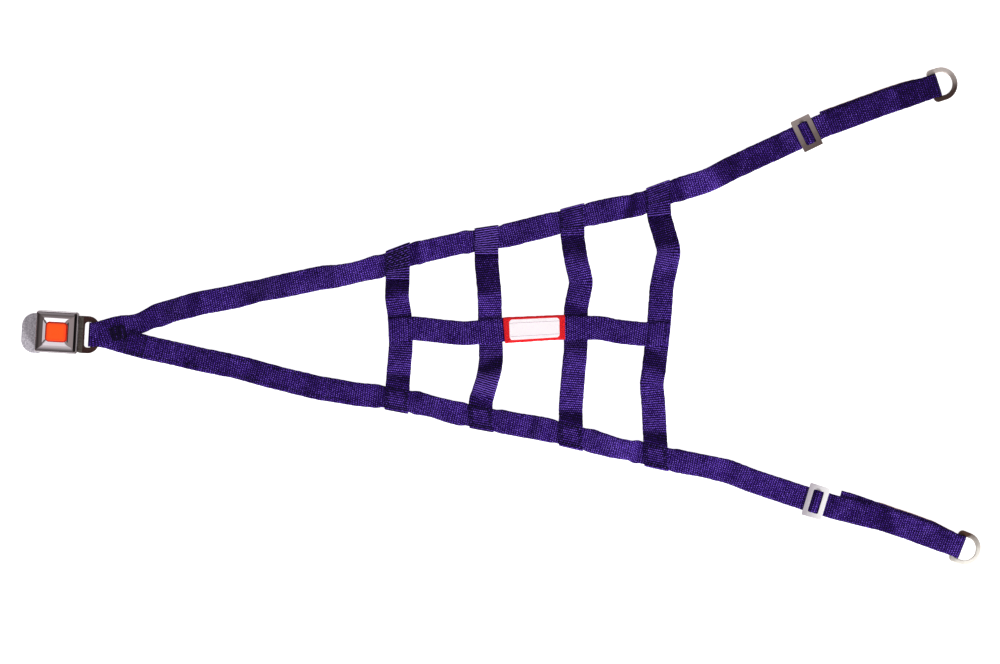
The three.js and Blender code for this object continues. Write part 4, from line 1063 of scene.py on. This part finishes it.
# %% A tree that sews along lines
def sewing_tree():
    tree = bpy.data.node_groups.new("sew_along_lines", "GeometryNodeTree")
    inputs = {"Lines": "Geometry", "Spacing": "Float", "Stitch Length": "Float", "Thread Radius": "Float",
              "Thread": "Material"}
    for name, kind in inputs.items():
        tree.interface.new_socket(name, in_out="INPUT", socket_type=f"NodeSocket{kind}")
    tree.interface.new_socket("Stitches", in_out="OUTPUT", socket_type="NodeSocketGeometry")
    given, result = tree.nodes.new("NodeGroupInput").outputs, tree.nodes.new("NodeGroupOutput")
    def made(kind, settings=None, **sockets):
        return add(tree, kind, settings, **sockets).outputs[0]
    curve = made("GeometryNodeMeshToCurve", _0=given["Lines"])
    spaced = made("GeometryNodeResampleCurve", {"mode": "LENGTH"}, Curve=curve, Length=given["Spacing"])
    bead = made("GeometryNodeMeshUVSphere", Segments=6, Rings=4, Radius=1.0)
    half, radius = Number(tree, given["Stitch Length"]) * 0.5, given["Thread Radius"]
    size = made("ShaderNodeCombineXYZ", X=half, Y=radius, Z=radius)
    stitch = made("GeometryNodeTransform", Geometry=bead, Scale=size)
    turned = made("FunctionNodeAlignRotationToVector", {"axis": "X"}, Vector=made("GeometryNodeInputTangent"))
    placed = made("GeometryNodeInstanceOnPoints", Points=spaced, Instance=stitch, Rotation=turned)
    plain = made("GeometryNodeRealizeInstances", Geometry=placed)
    sewn = made("GeometryNodeSetMaterial", Geometry=plain, Material=given["Thread"])
    tree.links.new(sewn, result.inputs[0])
    return tree

SEWING = sewing_tree()
print("sewing tree:", len(SEWING.nodes), "nodes")

# %% Sewing, and the threads
def sew(name, lines, thread, spacing, length, radius):
    """Lay lines of points, in millimetres, and sew along them; gives one plain mesh."""
    points, edges = [], []
    for line in lines:
        edges += [(len(points) + k, len(points) + k + 1) for k in range(len(line) - 1)]
        points += [Vector(p) * MM for p in line]
    mesh = bpy.data.meshes.new(name)
    mesh.from_pydata(points, edges, [])
    guide = put(name + "_guide", mesh)
    modifier = guide.modifiers.new("sewing", "NODES")
    modifier.node_group = SEWING
    values = {"Spacing": spacing * MM, "Stitch Length": length * MM, "Thread Radius": radius * MM,
              "Thread": thread}
    for item in SEWING.interface.items_tree:
        if item.in_out == "INPUT" and item.name in values:
            modifier[item.identifier] = values[item.name]
    bpy.context.view_layer.update()
    made = bpy.data.meshes.new_from_object(guide.evaluated_get(bpy.context.evaluated_depsgraph_get()))
    bpy.data.objects.remove(guide)
    made.name = name
    made.shade_smooth()
    sewn = put(name, made)
    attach(sewn, "net")
    print(name, len(made.polygons), "faces")
    return sewn

def thread_material(name, colour):
    return Finish(name, Base_Color=rgb(*colour), Roughness=0.55, Specular_IOR_Level=0.2).material

DARK_THREAD = thread_material("dark_thread", (16, 5, 40))
VIOLET_THREAD = thread_material("violet_thread", (74, 46, 150))
TAN_THREAD = thread_material("tan_thread", (150, 122, 112))

# %% [markdown]
# A seam is given by its corners on a strap: a place along the course and a share of the width. A
# line between two corners follows the surface, so a seam bends with its strap. Crossings have a
# sewn box, the first one a thick zigzag, and the lower side strap a row along each edge.

# %% Lines on the webbing
def seam(node, part, corners, lift=0.25, step=1.5):
    surface, places = surfaces[node], []
    for (at, share), (next_at, next_share) in zip(corners, corners[1:]):
        count = max(1, int(math.hypot(next_at - at, (next_share - share) * WEB_WIDTH) / step))
        places += [(blend(at, next_at, t), blend(share, next_share, t)) for t in np.arange(count) / count]
    return [surface.spot(surface.along(part, at), share, lift) for at, share in [*places, corners[-1]]]

def box_seam(node, part, at, before, after, share=0.42):
    low, high = at - before, at + after
    return seam(node, part, [(low, -share), (high, -share), (high, share), (low, share), (low, -share)])

def zigzag(node, part, low, high, shares, first=0):
    return seam(node, part, [((low, high)[(k + first) % 2], share) for k, share in enumerate(shares)])

# %% The seams
CENTRE_ROW, CENTRE_ROW_OUTER = 9.5, 7.6
ZIGZAG_ROWS, ZIGZAG_HALF = (8, 2.5, -3, -8), 1.8
KNOT_ROWS, KNOT_HIGH = (-415, -411.5, -408, -404.5, -401), 2.2
EDGE_ROWS = {"start": -396, "end": -160, "shares": (0.33, -0.33)}
LOWER_END_BOX = (-387, 8.5, 9.5)

boxes, zigzags, rows = [], [], []
for k, c in enumerate(crossings):
    node = f"cross_strap_{k + 1}"
    boxes += [box_seam(node, 2, c.bottom[1], 10, 11), box_seam(node, 2, c.bottom[1], 8.5, 9.5, share=0.34)]
    for side in (-CENTRE_ROW_OUTER if k == 0 else -CENTRE_ROW, CENTRE_ROW_OUTER if k == 3 else CENTRE_ROW):
        rows.append(seam("centre_strap", 0, [(c.middle[0] + side, -0.46), (c.middle[0] + side, 0.46)]))
for row in ZIGZAG_ROWS:
    at = crossings[0].top[1] + row
    zigzags.append(zigzag("cross_strap_1", 4, at - ZIGZAG_HALF, at + ZIGZAG_HALF, np.linspace(-0.44, 0.44, 9)))
boxes.append(box_seam("cross_strap_3", 4, crossings[2].top[1], 9, 8))
boxes.append(box_seam("cross_strap_4", 4, crossings[3].top[1], 5, 4, share=0.46))
for share in EDGE_ROWS["shares"]:
    rows.append(seam("side_strap_lower", 0, [(EDGE_ROWS[place], share) for place in ("start", "end")]))
boxes.append(box_seam("side_strap_lower", 0, *LOWER_END_BOX))
for at in KNOT_ROWS:
    for first in (0, 1):
        zigzags.append(zigzag("side_strap_upper", 2, at, at + KNOT_HIGH, np.linspace(-0.48, 0.06, 8), first))
sew("box_seams", boxes, DARK_THREAD, 3.2, 2.4, 0.62)
sew("zigzag_seams", zigzags, DARK_THREAD, 1.6, 2.2, 0.65)
sew("edge_rows", rows, DARK_THREAD, 3.2, 2.2, 0.42)

# %% [markdown]
# Three thread ends stick out where the seams were started or cut. A paler thread shows along the
# upper edge of the lower arm, where the layer that comes back from the D-ring peeps out.

# %% Loose ends and the pale edge
def loose_end(x, y, length, heading, curl):
    points, way = [], math.radians(heading)
    for k in range(9):
        points.append((x, y, 2.2 + 0.8 * math.sin(k / 2)))
        x, y = x + length / 8 * math.cos(way), y + length / 8 * math.sin(way)
        way += math.radians(curl) / 8
    return points

ENDS = [(-105.0, -98.5, 9, -100, 60), (160.0, -157.5, 8, -70, -50), (180.0, -30.5, 8, -60, 90)]
sew("thread_ends", [loose_end(*end) for end in ENDS], VIOLET_THREAD, 0.7, 1.3, 0.22)
PALE = [("side_strap_lower", 2, [(396, 0.5), (474, 0.5)]), ("side_strap_upper", 4, [(346, 0.5), (440, 0.5)])]
sew("pale_edge", [seam(*edge, lift=0.1) for edge in PALE], TAN_THREAD, 1.0, 1.8, 0.4)
